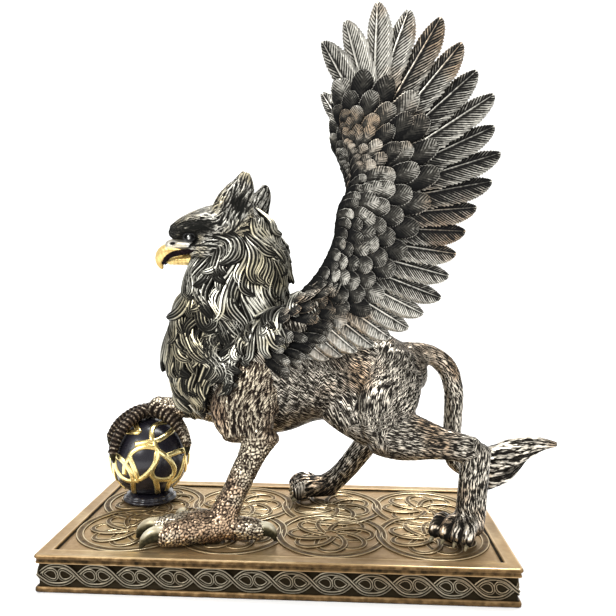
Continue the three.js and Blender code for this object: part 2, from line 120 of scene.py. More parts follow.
def mesh_object(name, points, faces, **attributes):
    """An object from points in millimetres and faces, with a number or a vector at each point"""
    mesh = bpy.data.meshes.new(name)
    mesh.from_pydata((np.asarray(points, float) * MM).tolist(), [], [tuple(face) for face in faces])
    add_attributes(mesh, attributes)
    if len(faces):
        mesh.shade_smooth()
    return linked(name, mesh)


turns = np.linspace(0, math.pi / 2, 12)
sweep = [(FLOOR_FRONT, 0)]
sweep += [(FLOOR_BACK + WALL_CURVE * math.sin(a), WALL_CURVE * (1 - math.cos(a))) for a in turns]
sweep.append((FLOOR_BACK + WALL_CURVE, WALL_TOP))
points = [(x, y, z) for x in (-FLOOR_HALF_WIDTH, FLOOR_HALF_WIDTH) for y, z in sweep]
count = len(sweep)
studio = mesh_object("studio_floor", points, [(k, count + k, count + k + 1, k + 1) for k in range(count - 1)])
pale, tree, shader = new_material("studio_floor")
fill(tree, shader, {"Base Color": (0.93, 0.93, 0.93, 1), "Roughness": 0.9})
studio.data.materials.append(pale)

world = bpy.data.worlds.new("studio_light")
world.use_nodes = True
fill(world.node_tree, world.node_tree.nodes["Background"], {"Color": (1, 1, 1, 1), "Strength": 0.62})
scene.world = world

# Each lamp's place, size and power, and the place that all of them point at
LAMPS = {
    "lamp_key": ((-600, -900, 900), 800, 17),
    "lamp_fill": ((900, -900, 500), 800, 5),
    "lamp_top": ((150, 350, 1100), 600, 16),
}
LAMP_AIM = Vector((20, 0, 140)) * MM
for name, (place, size, power) in LAMPS.items():
    lamp = linked(name, bpy.data.lights.new(name, "AREA"))
    lamp.data.size = size * MM
    lamp.data.energy = power
    lamp.location = Vector(place) * MM
    lamp.rotation_euler = (LAMP_AIM - lamp.location).to_track_quat("-Z", "Y").to_euler()

# Plinth mouldings: cold-cast resin, painted a warm brown and rubbed with gold on every edge. The
# casting is one block with a rounded foot, a sunk frieze, a moulded top and a shallow sunk panel.
PLINTH = np.array(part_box("plinth")) / MM
PLINTH_TOP = 19.3
FRIEZE_SETBACK = 2.4
FRIEZE_LOW, FRIEZE_HIGH = 3.0, 14.8
PANEL_BORDER = 8
PANEL_TOP = PLINTH_TOP - 1.2
CORNER_RADIUS = 2.6
CORNER_POINTS, SIDE_POINTS = 7, 24
# The relief up to which the groove's colour lasts, and over which the metal turns bright and smooth
GROOVE_UP_TO = 0.12
BRIGHT_FROM, BRIGHT_TO = 0.1, 0.7
SMOOTH_FROM, SMOOTH_TO = 0.1, 0.8
# How far below and above their level the patches fade in
PATCH_BELOW, PATCH_ABOVE = 0.04, 0.06
BUMP_STRENGTH = 0.35
SPECK_BUMP, STRAND_BUMP = 0.3 * MM, 0.8 * MM
# How far in from the plinth's edge, the height, and how much gold is rubbed on
PLINTH_PROFILE = [
    (1.4, 0, 0.1), (0.7, 0.5, 0.2), (0.5, 1.2, 0.22), (0.6, 2.1, 0.22), (1.2, 2.8, 0.34), (1.9, 3.0, 0.1),
    (FRIEZE_SETBACK, 3.1, 0), (FRIEZE_SETBACK, 8.8, 0.05), (FRIEZE_SETBACK, 14.3, 0), (2.0, 14.5, 0),
    (0.9, 14.7, 0.2), (0.6, 15.0, 0.5), (0.7, 15.5, 0.2), (1.0, 16.2, 0.16), (1.0, 16.8, 0.18),
    (0.3, 17.4, 0.26), (0, 17.9, 0.22), (0.2, 18.7, 0.26), (0.9, PLINTH_TOP, 1.0), (1.6, 19.2, 0.52),
    (4.0, 19.05, 0.54), (6.4, 19.1, 0.6), (7.2, PLINTH_TOP, 0.9), (7.7, 19.2, 0.55), (7.9, 18.3, 0),
    (8.7, PANEL_TOP - 0.3, 0), (9.1, PANEL_TOP, 0.6), (12, PANEL_TOP, 0.5), (14, PANEL_TOP, 0.5),
]


def unit(vectors):
    """The vectors, each brought to a length of one"""
    return vectors / np.maximum(np.linalg.norm(vectors, axis=-1, keepdims=True), 1e-9)


def grid_faces(rows, columns, closed=False):
    """Faces of rings of points that follow one another: capped at both ends, or closed on themselves"""
    r, c = np.meshgrid(np.arange(rows if closed else rows - 1), np.arange(columns), indexing="ij")
    nr, nc = (r + 1) % rows, (c + 1) % columns
    quads = [r * columns + c, r * columns + nc, nr * columns + nc, nr * columns + c]
    faces = [tuple(quad) for quad in np.stack(quads, -1).reshape(-1, 4).tolist()]
    if not closed:
        faces.append(tuple(range(columns))[::-1])
        faces.append(tuple(range((rows - 1) * columns, rows * columns)))
    return faces


def gather(shapes):
    """One list of points, faces and point attributes from several shapes"""
    points, faces, attributes, start = [], [], {}, 0
    for shape_points, shape_faces, shape_attributes in shapes:
        points.append(shape_points)
        faces += [tuple(start + k for k in face) for face in shape_faces]
        start += len(shape_points)
        for key, values in shape_attributes.items():
            attributes.setdefault(key, []).append(values)
    return np.concatenate(points), faces, {key: np.concatenate(values) for key, values in attributes.items()}


def joined(name, shapes, lift=0):
    """One object from several shapes, all of them lifted alike"""
    points, faces, attributes = gather(shapes)
    return mesh_object(name, points + (0, 0, lift), faces, **attributes)


def noise(tree, place, scale, detail, distortion=0.0):
    """Cloudy values from 0 to 1 over a surface"""
    cloud = node(tree, "ShaderNodeTexNoise", {"Vector": place, "Scale": scale, "Detail": detail,
                                              "Distortion": distortion})
    return cloud.outputs["Fac"]


def ramp(tree, value, low, high, start=0.0, end=1.0):
    """A value that runs from low to high, made to run from start to end"""
    return node(tree, "ShaderNodeMapRange", {"Value": value, "From Min": low, "From Max": high,
                                             "To Min": start, "To Max": end}).outputs[0]


def mixed(tree, share, first, second):
    """A colour that turns from the first into the second with the share"""
    return node(tree, "ShaderNodeMix", {"Factor": share, 6: first, 7: second}, data_type="RGBA").outputs[2]


def worked(tree, value, strength, level):
    """A level that is lifted or lowered where cloudy values are above or below their middle"""
    swing = node(tree, "ShaderNodeMath", {0: value, 1: 0.5}, operation="SUBTRACT").outputs[0]
    lifted = node(tree, "ShaderNodeMath", {0: swing, 1: strength, 2: level}, operation="MULTIPLY_ADD")
    return lifted.outputs[0]


def bumps(tree, height, strength, distance):
    """Small bumps in a surface, from heights over it"""
    bump = node(tree, "ShaderNodeBump", {"Height": height, "Strength": strength, "Distance": distance})
    return bump.outputs[0]


def patina(name, groove, body, crest, tint, patches=(22, 0.5), edges=(0.42, 0.78), shine=(0.35, 0.95),
           roughness=(0.55, 0.3), grain=(700, 0.25), strands=0.0):
    """Dark metal whose relief is rubbed bright: one colour in the grooves, one between, and on the crests one
    with patches of a tint. `patches` is their scale and level, `edges` the relief where the crests' colour
    starts and is full, `shine` and `roughness` those of grooves and crests, `grain` the scale and strength of
    specks, and `strands` how strongly fine lines show that run along the limbs"""
    material, tree, shader = new_material(name)
    place = node(tree, "ShaderNodeTexCoord").outputs["Object"]
    relief = node(tree, "ShaderNodeAttribute", attribute_name="relief").outputs["Fac"]
    tone = node(tree, "ShaderNodeAttribute", attribute_name="tone").outputs["Fac"]
    level = node(tree, "ShaderNodeMath", {0: relief, 1: tone}, operation="ADD").outputs[0]
    height = noise(tree, place, grain[0], 3.0)
    rub = worked(tree, height, grain[1] * 2, level)
    if strands:
        lines = node(tree, "ShaderNodeAttribute", attribute_name="strand").outputs["Vector"]
        height = noise(tree, lines, 1.0, 2.0, 0.3)
        rub = worked(tree, height, strands, rub)
    cloud = noise(tree, place, patches[0], 4.0)
    patch = ramp(tree, cloud, patches[1] - PATCH_BELOW, patches[1] + PATCH_ABOVE)
    bright = mixed(tree, patch, (*crest, 1), (*tint, 1))
    dim = mixed(tree, ramp(tree, rub, GROOVE_UP_TO, edges[0]), (*groove, 1), (*body, 1))
    fill(tree, shader, {
        "Base Color": mixed(tree, ramp(tree, rub, edges[0] * 0.8, edges[1]), dim, bright),
        "Metallic": ramp(tree, rub, BRIGHT_FROM, BRIGHT_TO, *shine),
        "Roughness": ramp(tree, rub, SMOOTH_FROM, SMOOTH_TO, *roughness),
        "Normal": bumps(tree, height, BUMP_STRENGTH, STRAND_BUMP if strands else SPECK_BUMP),
        "Specular IOR Level": 0.02,
    })
    return material


def rounded_oblong(setback, height):
    """A ring of points: an oblong with rounded corners, set back from the plinth's outline"""
    half = PLINTH[1][:2] - setback
    radius = max(CORNER_RADIUS - setback, 0.5)
    arcs = []
    for corner, signs in enumerate([(1, 1), (-1, 1), (-1, -1), (1, -1)]):
        angles = math.pi / 2 * (corner + np.linspace(0, 1, CORNER_POINTS))
        arcs.append((half - radius) * signs + radius * np.stack([np.cos(angles), np.sin(angles)], 1))
    ring = []
    for arc, following in zip(arcs, arcs[1:] + arcs[:1]):
        step = (following[0] - arc[-1]) / SIDE_POINTS
        ring += [*arc, *(arc[-1] + step * k for k in range(1, SIDE_POINTS))]
    return np.column_stack([ring, np.full(len(ring), height)])


rings = [rounded_oblong(setback, height) for setback, height, gold in PLINTH_PROFILE]
gold = np.repeat([gold for setback, height, gold in PLINTH_PROFILE], len(rings[0]))
mouldings = mesh_object("plinth_mouldings", np.concatenate(rings), grid_faces(len(rings), len(rings[0])),
                        relief=gold)
GOLD_BROWN = patina("brown_patina_rubbed_gold", (0.014, 0.010, 0.005), (0.17, 0.10, 0.042),
                    (0.82, 0.62, 0.35), (0.6, 0.42, 0.22), patches=(18, 0.5), edges=(0.3, 0.95),
                    roughness=(0.5, 0.3), grain=(300, 0.16))
mouldings.data.materials.append(GOLD_BROWN)
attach(mouldings, "root")
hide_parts("plinth")

# Frieze: two straps in low relief that wave round all four sides, each falling over the other and rising
# under it, with a pair of leaves in every eye. They are cast with the plinth and their edges rubbed bright.
KNOTS = 36
STRAP_STEPS = 15
STRAP_HALF_WIDTH = 1.05
STRAP_RISE = 1.0
STRAP_WEAVE = 0.4
FRIEZE_SWING = (FRIEZE_HIGH - FRIEZE_LOW) / 2 - 1.1
DROP_LENGTH, DROP_HEIGHT = 7.0, 3.4
DROP_HALF_WIDTH = 0.85
DROP_SINK = 0.25
EDGED_STRAP = [(1, -1, 0), (0.95, 0.5, 0.3), (0.7, 1, 1), (0, 0.5, 0), (-0.7, 1, 1), (-0.95, 0.5, 0.3),
               (-1, -1, 0)]


def gone_at(points):
    """How far along its course each of a row of points is"""
    return np.concatenate([[0], np.cumsum(np.linalg.norm(np.diff(points, axis=0), axis=1))])


def along(table, count):
    """The rows of a table drawn out smoothly to `count` rows, at even steps of the way"""
    rows = np.asarray(table, float)
    knots = gone_at(rows[:, :3])
    slopes = np.gradient(rows, knots, axis=0)
    places = np.linspace(0, knots[-1], count)
    k = np.clip(np.searchsorted(knots, places, side="right") - 1, 0, len(rows) - 2)
    span = (knots[k + 1] - knots[k])[:, None]
    t = (places - knots[k])[:, None] / span
    start = (1 + 2 * t) * (1 - t) ** 2 * rows[k] + t * (1 - t) ** 2 * span * slopes[k]
    return start + t * t * (3 - 2 * t) * rows[k + 1] - t * t * (1 - t) * span * slopes[k + 1]


def ribbon(path, rise, half, section, closed=False):
    """A strap along a path: `rise` is its outward side, `half` its half width and height at each place,
    and `section` lists across, height and relief round it"""
    path, section = np.asarray(path, float), np.asarray(section, float)
    if closed:
        tangent = unit(np.roll(path, -1, axis=0) - np.roll(path, 1, axis=0))
    else:
        tangent = unit(np.gradient(path, axis=0))
    across = unit(np.cross(rise, tangent))
    rise = np.cross(tangent, across)
    half = np.broadcast_to(half, (len(path), 2))
    offset = (half[:, None, :1] * section[None, :, :1] * across[:, None]
              + half[:, None, 1:] * section[None, :, 1:2] * rise[:, None])
    points = (path[:, None] + offset).reshape(-1, 3)
    relief = np.tile(section[:, 2], len(path))
    return points, grid_faces(len(path), len(section), closed), {"relief": relief}


def round_plinth(way, setback):
    """Places at lengths round the plinth's four sides, and their outward directions"""
    half = PLINTH[1][:2] - setback
    turn = 2.0
    corners = [(-1, -1), (1, -1), (1, 1), (-1, 1)]
    lengths = [2 * half[0], 2 * half[1], 2 * half[0], 2 * half[1]]
    way = np.asarray(way) % sum(lengths)
    places, outs = np.zeros((len(way), 2)), np.zeros((len(way), 2))
    for side, start in enumerate(np.cumsum([0] + lengths[:3])):
        on = (way >= start) & (way < start + lengths[side])
        ahead = np.array(((1, 0), (0, 1), (-1, 0), (0, -1))[side])
        out = np.array((ahead[1], -ahead[0]))
        back = np.array((-ahead[0], -ahead[1]))
        gone = (way[on] - start)[:, None]
        places[on] = half * corners[side] + ahead * gone
        left = lengths[side] - gone
        bend = np.clip(1 - gone / turn, 0, 1) * back + np.clip(1 - left / turn, 0, 1) * ahead
        outs[on] = unit(out + bend)
    return places, outs


girth = 2 * (2 * PLINTH[1][:2] - 2 * FRIEZE_SETBACK).sum()
knot = girth / KNOTS
middle = (FRIEZE_LOW + FRIEZE_HIGH) / 2
courses = []
for shift in (0, math.pi):
    way = np.linspace(0, girth, STRAP_STEPS * KNOTS, endpoint=False)
    swing = np.sin(math.pi * way / knot + shift)
    sunk = STRAP_WEAVE * np.cos(math.pi * way / knot + shift)
    courses.append((way, FRIEZE_SWING * swing * (1.35 - 0.35 * swing ** 2), sunk, STRAP_HALF_WIDTH))
around = np.linspace(0, 2 * math.pi, STRAP_STEPS, endpoint=False)
for k in range(KNOTS):
    for hand in (-1, 1):
        way = (k + 0.5) * knot + hand * DROP_LENGTH * (0.56 + np.cos(around) / 2 - 0.1 * np.sin(around))
        up = hand * DROP_HEIGHT * np.sin(around) * np.sin(around / 2) ** 0.8
        courses.append((way, up, np.full_like(way, DROP_SINK), DROP_HALF_WIDTH))
straps = []
for way, up, sunk, half in courses:
    places, outs = round_plinth(way, FRIEZE_SETBACK)
    outs = np.concatenate([outs, np.zeros((len(outs), 1))], 1)
    path = np.concatenate([places, middle + up[:, None]], 1)
    straps.append(ribbon(path - outs * sunk[:, None], outs, (half, STRAP_RISE), EDGED_STRAP, closed=True))
frieze = joined("frieze_knotwork", straps)
frieze.data.materials.append(patina("brown_patina_rubbed_pewter", (0.005, 0.004, 0.002), (0.022, 0.018, 0.01),
                                    (0.3, 0.26, 0.19), (0.25, 0.19, 0.12), patches=(25, 0.55),
                                    edges=(0.4, 0.9), roughness=(0.5, 0.34), grain=(600, 0.2)))
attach(frieze, "root")
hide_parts("plinth")

# Panel knotwork: rings of flat strap that pass over and under each other, and a woven rosette in each
# ring. All of it is cast with the plinth in low relief, and its edges are rubbed with gold.
RINGS_ALONG, RINGS_ACROSS = 4, 2
RING_RADIUS = 28.2
RING_MARGIN = 0.8
RING_HALF_WIDTH = 1.9
RING_RISE = 0.7
ROSETTE_TURNS, ROSETTE_LOOPS = 3, 8
ROSETTE_MIDDLE, ROSETTE_SWING = 13.5, 9
ROSETTE_HALF_WIDTH = 1.35
WEAVE = 0.4
CROSSING_LENGTH = 4.5
RING_LIFT, ROSETTE_LIFT = 0.2, 0.1
RING_STEPS, ROSETTE_STEPS = 96, 184
BANDED_STRAP = [(1.1, -0.9, 0), (1.05, 0.4, 0.3), (0.88, 1, 1), (0.66, 0.55, 0.3), (0, 0.5, 0.22),
                (-0.66, 0.55, 0.3), (-0.88, 1, 1), (-1.05, 0.4, 0.3), (-1.1, -0.9, 0)]
reach = PLINTH[1][:2] - PANEL_BORDER - RING_MARGIN - RING_HALF_WIDTH - RING_RADIUS
columns = np.linspace(-reach[0], reach[0], RINGS_ALONG)
lines = np.linspace(-reach[1], reach[1], RINGS_ACROSS)
around = np.linspace(0, 2 * math.pi, RING_STEPS, endpoint=False)
t = np.linspace(0, 2 * math.pi, ROSETTE_STEPS, endpoint=False)
spacing = {0: columns[1] - columns[0], 90: lines[1] - lines[0]}
straps = []
for i, x in enumerate(columns):
    for j, y in enumerate(lines):
        beside = {0: i < RINGS_ALONG - 1, 180: i > 0, 90: j < RINGS_ACROSS - 1, 270: j > 0}
        weave = np.zeros_like(around)
        for bearing in [bearing for bearing, present in beside.items() if present]:
            opening = math.acos(spacing[bearing % 180] / 2 / RING_RADIUS)
            for side in (-1, 1):
                gap = around - math.radians(bearing) - side * opening
                gap = (gap + math.pi) % (2 * math.pi) - math.pi
                weave += side * WEAVE * np.exp(-(gap * RING_RADIUS / CROSSING_LENGTH) ** 2)
        courses = [
            (RING_RADIUS, around, PANEL_TOP + RING_LIFT + weave, RING_HALF_WIDTH),
            (ROSETTE_MIDDLE + ROSETTE_SWING * np.cos(ROSETTE_LOOPS * t),
             ROSETTE_TURNS * t + math.pi * (i + j) / ROSETTE_LOOPS,
             PANEL_TOP + ROSETTE_LIFT + WEAVE * np.sin(ROSETTE_LOOPS * t), ROSETTE_HALF_WIDTH),
        ]
        for radius, turn, height, half in courses:
            path = np.stack([x + radius * np.cos(turn), y + radius * np.sin(turn), height], 1)
            straps.append(ribbon(path, (0.0, 0.0, 1.0), (half, RING_RISE), BANDED_STRAP, closed=True))
panel = joined("panel_knotwork", straps)
panel.data.materials.append(patina("panel_straps_rubbed_gold", (0.014, 0.010, 0.006), (0.2, 0.13, 0.06),
                                   (0.9, 0.78, 0.52), (0.72, 0.58, 0.36), patches=(30, 0.5),
                                   edges=(0.4, 1.0), roughness=(0.5, 0.3), grain=(300, 0.16)))
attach(panel, "root")
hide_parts("plinth")

# Orb: a glossy black ball under the raised forefoot, bound with flat gilt straps that loop round its
# middle and run down to a moulded foot ring. It is cast by itself and stands on the panel.
ORB = np.array(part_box("orb")) / MM
ORB_RADIUS = 23.4
ORB_CENTRE = np.array((-85.5, 25.0, ORB[0][2] + 26.4))
STRAP_RISE_ON_ORB = 0.9
STRAP_HALF_ON_ORB = 1.55
# Straps as they show from the photograph's side, in shares of the ball's radius to the right and up
CLOSED_STRAPS = [
    [(0.05, 0.6), (0.14, 0.76), (0.36, 0.82), (0.64, 0.75), (0.5, 0.56), (0.22, 0.38), (0.07, 0.38)],
    [(-0.48, 0.03), (-0.3, 0.18), (-0.05, 0.22), (0.19, 0.13), (0.15, -0.15), (-0.04, -0.42), (-0.27, -0.56),
     (-0.35, -0.36), (-0.43, -0.15)],
    [(0.2, 0.08), (0.45, -0.1), (0.6, -0.35), (0.54, -0.55), (0.33, -0.61), (0.1, -0.55), (0.04, -0.38),
     (0.14, -0.15)],
]
OPEN_STRAPS = [
    [(-0.36, 0.3), (-0.1, 0.33), (0.12, 0.36)], [(0.12, 0.38), (0.13, 0.26), (0.14, 0.16)],
    [(-0.86, 0.08), (-0.67, -0.08), (-0.52, -0.28), (-0.42, -0.5), (-0.41, -0.75), (-0.4, -0.9)],
    [(-0.86, -0.04), (-0.84, -0.22), (-0.74, -0.42), (-0.58, -0.57), (-0.27, -0.6)],
    [(-0.62, -0.42), (-0.6, -0.2), (-0.46, 0.03)], [(0.42, -0.03), (0.65, 0.05), (0.87, 0.1)],
    [(0.55, -0.5), (0.47, -0.7), (0.42, -0.88)], [(0.12, -0.56), (0.17, -0.75), (0.19, -0.94)],
    [(0.87, -0.1), (0.8, -0.36), (0.66, -0.6), (0.46, -0.72)],
]
# The bearing and the height that the straps are drawn from
ORB_FACING = math.radians(16)
ORB_VIEW_RISE = math.radians(15.5)
CLOSED_STEPS, OPEN_STEPS = 8, 7
FLAT_STRAP = [(1, -0.8, 0.2), (1, 0.35, 0.5), (0.7, 0.85, 0.9), (0.25, 1, 1), (-0.25, 1, 1),
              (-0.7, 0.85, 0.9), (-1, 0.35, 0.5), (-1, -0.8, 0.2)]


def closed_course(course, count):
    """A closed curve drawn smoothly through points"""
    rows = np.array(course, float)
    t = np.linspace(0, len(rows), count, endpoint=False)
    k, f = t.astype(int), (t % 1)[:, None]
    a, b, c, d = (rows[(k + shift) % len(rows)] for shift in (-1, 0, 1, 2))
    return b + 0.5 * f * (c - a + f * (2 * a - 5 * b + 4 * c - d + f * (3 * (b - c) + d - a)))


def on_ball(course, closed, turn):
    """Outward directions along a strap that is seen from the photograph's side, turned about the ball"""
    if closed:
        flat = closed_course(course, CLOSED_STEPS * len(course))
    else:
        flat = along([(x, up, 0) for x, up in course], OPEN_STEPS * len(course))
    x, up = flat[:, 0], flat[:, 1]
    toward = np.sqrt(np.clip(1 - x * x - up * up, 0.0004, 1))
    bearing = ORB_FACING + turn
    front = toward * math.cos(ORB_VIEW_RISE) - up * math.sin(ORB_VIEW_RISE)
    height = toward * math.sin(ORB_VIEW_RISE) + up * math.cos(ORB_VIEW_RISE)
    return unit(np.stack([x * math.cos(bearing) + front * math.sin(bearing),
                          x * math.sin(bearing) - front * math.cos(bearing), height], 1))


bands = []
for turn in np.radians((0, 120, 240)):
    for courses, closed in ((CLOSED_STRAPS, True), (OPEN_STRAPS, False)):
        for course in courses:
            out = on_ball(course, closed, turn)
            bands.append(ribbon(ORB_CENTRE + ORB_RADIUS * out, out, (STRAP_HALF_ON_ORB, STRAP_RISE_ON_ORB),
                                FLAT_STRAP, closed))
gilt = joined("orb_straps", bands)
gilt.data.materials.append(patina("gilt_strap", (0.12, 0.08, 0.02), (0.45, 0.33, 0.1), (0.9, 0.76, 0.36),
                                  (0.78, 0.58, 0.22), patches=(40, 0.5), edges=(0.25, 0.7),
                                  roughness=(0.4, 0.25), grain=(500, 0.1)))
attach(gilt, "root")
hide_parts("orb")

# The ball and its foot ring, as radius, height and how deep the edge is lobed
RISES = np.radians(np.linspace(-66, 89, 60))
BALL_PROFILE = [(ORB_RADIUS * math.cos(rise), ORB_RADIUS * math.sin(rise), 0) for rise in RISES]
FOOT_PROFILE = [(12, 0, 0), (15.6, 0, 0), (16, 0.5, 0), (16, 1.3, 0.35), (15.2, 1.9, 0.35), (14.2, 2.2, 0.35),
                (14.4, 2.9, 0.35), (14, 3.6, 0.35), (13, 4.4, 0), (11, 5.4, 0), (9, 6, 0)]
FOOT_LOBES = 12
TURNED_STEPS = 96
BLACK_RELIEF = 0.2


def turned(profile, centre):
    """A round shape turned from a profile, about a centre"""
    around = np.linspace(0, 2 * math.pi, TURNED_STEPS, endpoint=False)
    rings = []
    for radius, height, lobe in profile:
        reach = radius + lobe * np.cos(FOOT_LOBES * around)
        level = np.full_like(around, height)
        rings.append(np.stack([reach * np.cos(around), reach * np.sin(around), level], 1))
    points = np.concatenate(rings) + centre
    return points, grid_faces(len(rings), len(around)), {"relief": np.full(len(points), BLACK_RELIEF)}


foot_place = (*ORB_CENTRE[:2], ORB[0][2])
orb = joined("orb_ball", [turned(BALL_PROFILE, ORB_CENTRE), turned(FOOT_PROFILE, foot_place)])
lacquer, tree, shader = new_material("black_lacquer")
cloud = noise(tree, node(tree, "ShaderNodeTexCoord").outputs["Object"], 60.0, 4.0)
fill(tree, shader, {
    "Base Color": mixed(tree, cloud, (0.004, 0.004, 0.006, 1), (0.016, 0.014, 0.02, 1)),
    "Roughness": ramp(tree, cloud, 0, 1, 0.12, 0.34),
    "Normal": bumps(tree, cloud, 0.15, 0.0008),
})
orb.data.materials.append(lacquer)
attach(orb, "root")
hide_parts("orb")

# Griffin's body: the trunk, hind legs, paws and tail, cast with the rest of the figure. Short fur is
# cut into the whole of it in strokes that lie from the shoulders to the rump and down the legs.
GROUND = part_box("griffin")[0][2] / MM
# A limb is rows of x, y, height, half width and half thickness, and heights are measured from GROUND
TORSO = [(71, 0, 88, 14, 14), (65, 0, 86, 20, 19.5), (52, 0, 84, 22, 23), (36, 0, 81.5, 20, 24.5),
         (18, 0, 82, 22, 25.5), (0, 0, 82, 25, 32.5), (-16, 0, 83, 26, 36), (-32, 0, 81, 24, 31),
         (-42, 0, 79, 18, 22)]
NEAR_THIGH = [(60, -8, 92, 12, 16), (58, -14, 80, 13.5, 17.5), (55, -19, 66, 12.5, 16),
              (55, -22, 54, 9.5, 12)]
NEAR_SHANK = [(52, -21, 56, 9, 13), (62, -22.5, 54.5, 9.5, 13.6), (72, -24, 53, 8.6, 12),
              (80, -26, 52, 7.4, 9.6), (90, -28, 50.6, 6.5, 7.8), (101, -29, 48.4, 6, 7)]
FLANK = [(24, -9, 72, 7, 12), (37, -13, 66, 9, 14.5), (50, -17, 61, 10, 15.5)]
NEAR_HOCK = [(102.5, -29, 49, 6, 7.5), (101.5, -28, 37, 6.2, 7.8), (101, -27, 25, 6.5, 7.8),
             (100.3, -26, 13, 7, 8.2), (99, -25.5, 7, 7.8, 9)]
FAR_THIGH = [(58, 8, 92, 12, 16), (54, 14, 80, 13, 16.5), (48, 19, 67, 12, 14), (45, 22, 58, 9.5, 10.5)]
FAR_SHANK = [(45, 22, 59, 8.5, 9.5), (50, 26, 51, 7.5, 8.5), (54, 29, 43, 6.5, 7.5)]
FAR_HOCK = [(54, 29, 44, 6.3, 7.5), (45, 30.5, 32, 6.2, 7.2), (37, 32, 21, 6, 6.8), (29, 33.5, 12, 6.5, 6.8),
            (22, 34, 7, 7.5, 7)]
HIND_LEGS = [NEAR_THIGH, NEAR_SHANK, NEAR_HOCK, FAR_THIGH, FAR_SHANK, FAR_HOCK]
TAIL = [(68, 0, 95, 7, 7), (80, 1, 95, 5.4, 5.6), (90.5, 2, 88, 5.2, 5.8), (95, 3, 76, 5, 5.6),
        (95.5, 4, 60, 4.8, 5.4), (95, 4, 46, 4.6, 5), (97, 5, 33, 4.3, 4.6), (106, 5, 27, 4.2, 4.4)]
# Where each wing grows out of the shoulder, as x, height and the two halves, and how the wings stand
WING_ROOT = [(-14, 96, 9, 7), (-7, 102, 12, 10), (4, 112, 11, 9), (18, 126, 7, 5.5)]
WING_ROOT_Y = 23
WING_FOOT_Z = 116
WING_LEAN = math.tan(math.radians(9.5))
FAR_WING_ADVANCE = 0.022
# A paw's pad as forward, height, half width and half height, and one toe and claw the same way
PAW_PAD = [(-12, 6, 5.5, 5.5), (-5, 7, 7.4, 6.6), (3, 7, 8.6, 6.4), (8, 6, 8.6, 5.4)]
PAW_TOE = [(-1, 8, 2.7, 4), (5, 8.9, 3, 5.4), (9.5, 7, 3.1, 5.7), (12.8, 4.8, 2.8, 4.3)]
PAW_CLAW = [(12, 3.2, 1.2, 1.3), (13.9, 2.4, 0.9, 1.1), (15, 1.2, 0.5, 0.6)]
PAW_SPREAD = (-8.2, -2.8, 2.8, 8.2)
TOE_SPLAY = 0.012
# Each hind paw's place and the bearing that it points to
NEAR_PAW = (95, -26, 236)
FAR_PAW = (16, 33, 190)
FUR_LENGTH, FUR_WIDTH = 6.5, 1.9
UNDERFUR_LENGTH, UNDERFUR_WIDTH, UNDERFUR_SPACING = 5.0, 1.1, 1.9
FUR_DEPTH, FUR_SINK = 0.7, 0.25
TOE_REACH, TOE_TOP = 8, 15
BODY_VOXEL = 0.87
# How far the fine lines are drawn out along a limb and across it
STRAND_ALONG, STRAND_ACROSS = 0.26, 1.5


def limb(stations, side=(0, 1, 0), nose=(0.6, 0.6), rows=28, columns=20):
    """A limb swept along stations of x, y, z, half width along `side` and half thickness across it"""
    table = along(stations, rows)
    tangent = unit(np.gradient(table[:, :3], axis=0))
    bulge = table[:, 3:5].min(axis=1)
    start, end = [], []
    for angle in np.radians((24, 48, 68, 82)):
        shrink = (1, 1, 1, math.cos(angle), math.cos(angle))
        start.insert(0, table[0] * shrink - (*(tangent[0] * nose[0] * bulge[0] * math.sin(angle)), 0, 0))
        end.append(table[-1] * shrink + (*(tangent[-1] * nose[1] * bulge[-1] * math.sin(angle)), 0, 0))
    table = np.concatenate([start, table, end])
    tangent = np.concatenate([np.tile(tangent[0], (4, 1)), tangent, np.tile(tangent[-1], (4, 1))])
    side = np.asarray(side, float)
    across = unit(side - tangent * (tangent @ side)[:, None])
    over = np.cross(tangent, across)
    turn = np.linspace(0, 2 * math.pi, columns, endpoint=False)[None, :, None]
    points = (table[:, None, :3] + table[:, None, 3:4] * np.cos(turn) * across[:, None]
              + table[:, None, 4:5] * np.sin(turn) * over[:, None])
    return points.reshape(-1, 3), grid_faces(len(table), columns), {}


def run(stations, way=1):
    """Places along a limb, the way its hair lies there, and its thickness"""
    table = along(stations, 14)
    return table[:, :3], way * unit(np.gradient(table[:, :3], axis=0)), table[:, 3:5].mean(axis=1)


def settled(name, holder):
    """A plain object with the mesh that a holder's modifiers make, in the holder's stead"""
    graph = bpy.context.evaluated_depsgraph_get()
    mesh = bpy.data.meshes.new_from_object(holder.evaluated_get(graph))
    bpy.data.objects.remove(holder)
    return linked(name, mesh)


def skin(name, limbs, voxel, smoothing=3):
    """One closed mesh over limbs that overlap, lifted to where the griffin stands"""
    block = joined(name, limbs, GROUND)
    remesh = block.modifiers.new("remesh", "REMESH")
    remesh.mode = "VOXEL"
    remesh.voxel_size = voxel * MM
    smooth = block.modifiers.new("smooth", "SMOOTH")
    smooth.factor = 0.5
    smooth.iterations = smoothing
    return settled(name, block)


def surface(made):
    """An object's points in the griffin's own heights, and its normals"""
    count = len(made.data.vertices)
    points, normals = np.empty(3 * count), np.empty(3 * count)
    made.data.vertices.foreach_get("co", points)
    made.data.vertices.foreach_get("normal", normals)
    return points.reshape(-1, 3) / MM - (0, 0, GROUND), normals.reshape(-1, 3)


def carve(made, points, **attributes):
    """Puts points back into an object, flat where they meet the ground, with their attributes"""
    points = points.copy()
    points[:, 2] = np.maximum(points[:, 2], 0)
    mesh = made.data
    mesh.vertices.foreach_set("co", ((points + (0, 0, GROUND)) * MM).ravel())
    add_attributes(mesh, attributes)
    mesh.update()
    mesh.shade_smooth()


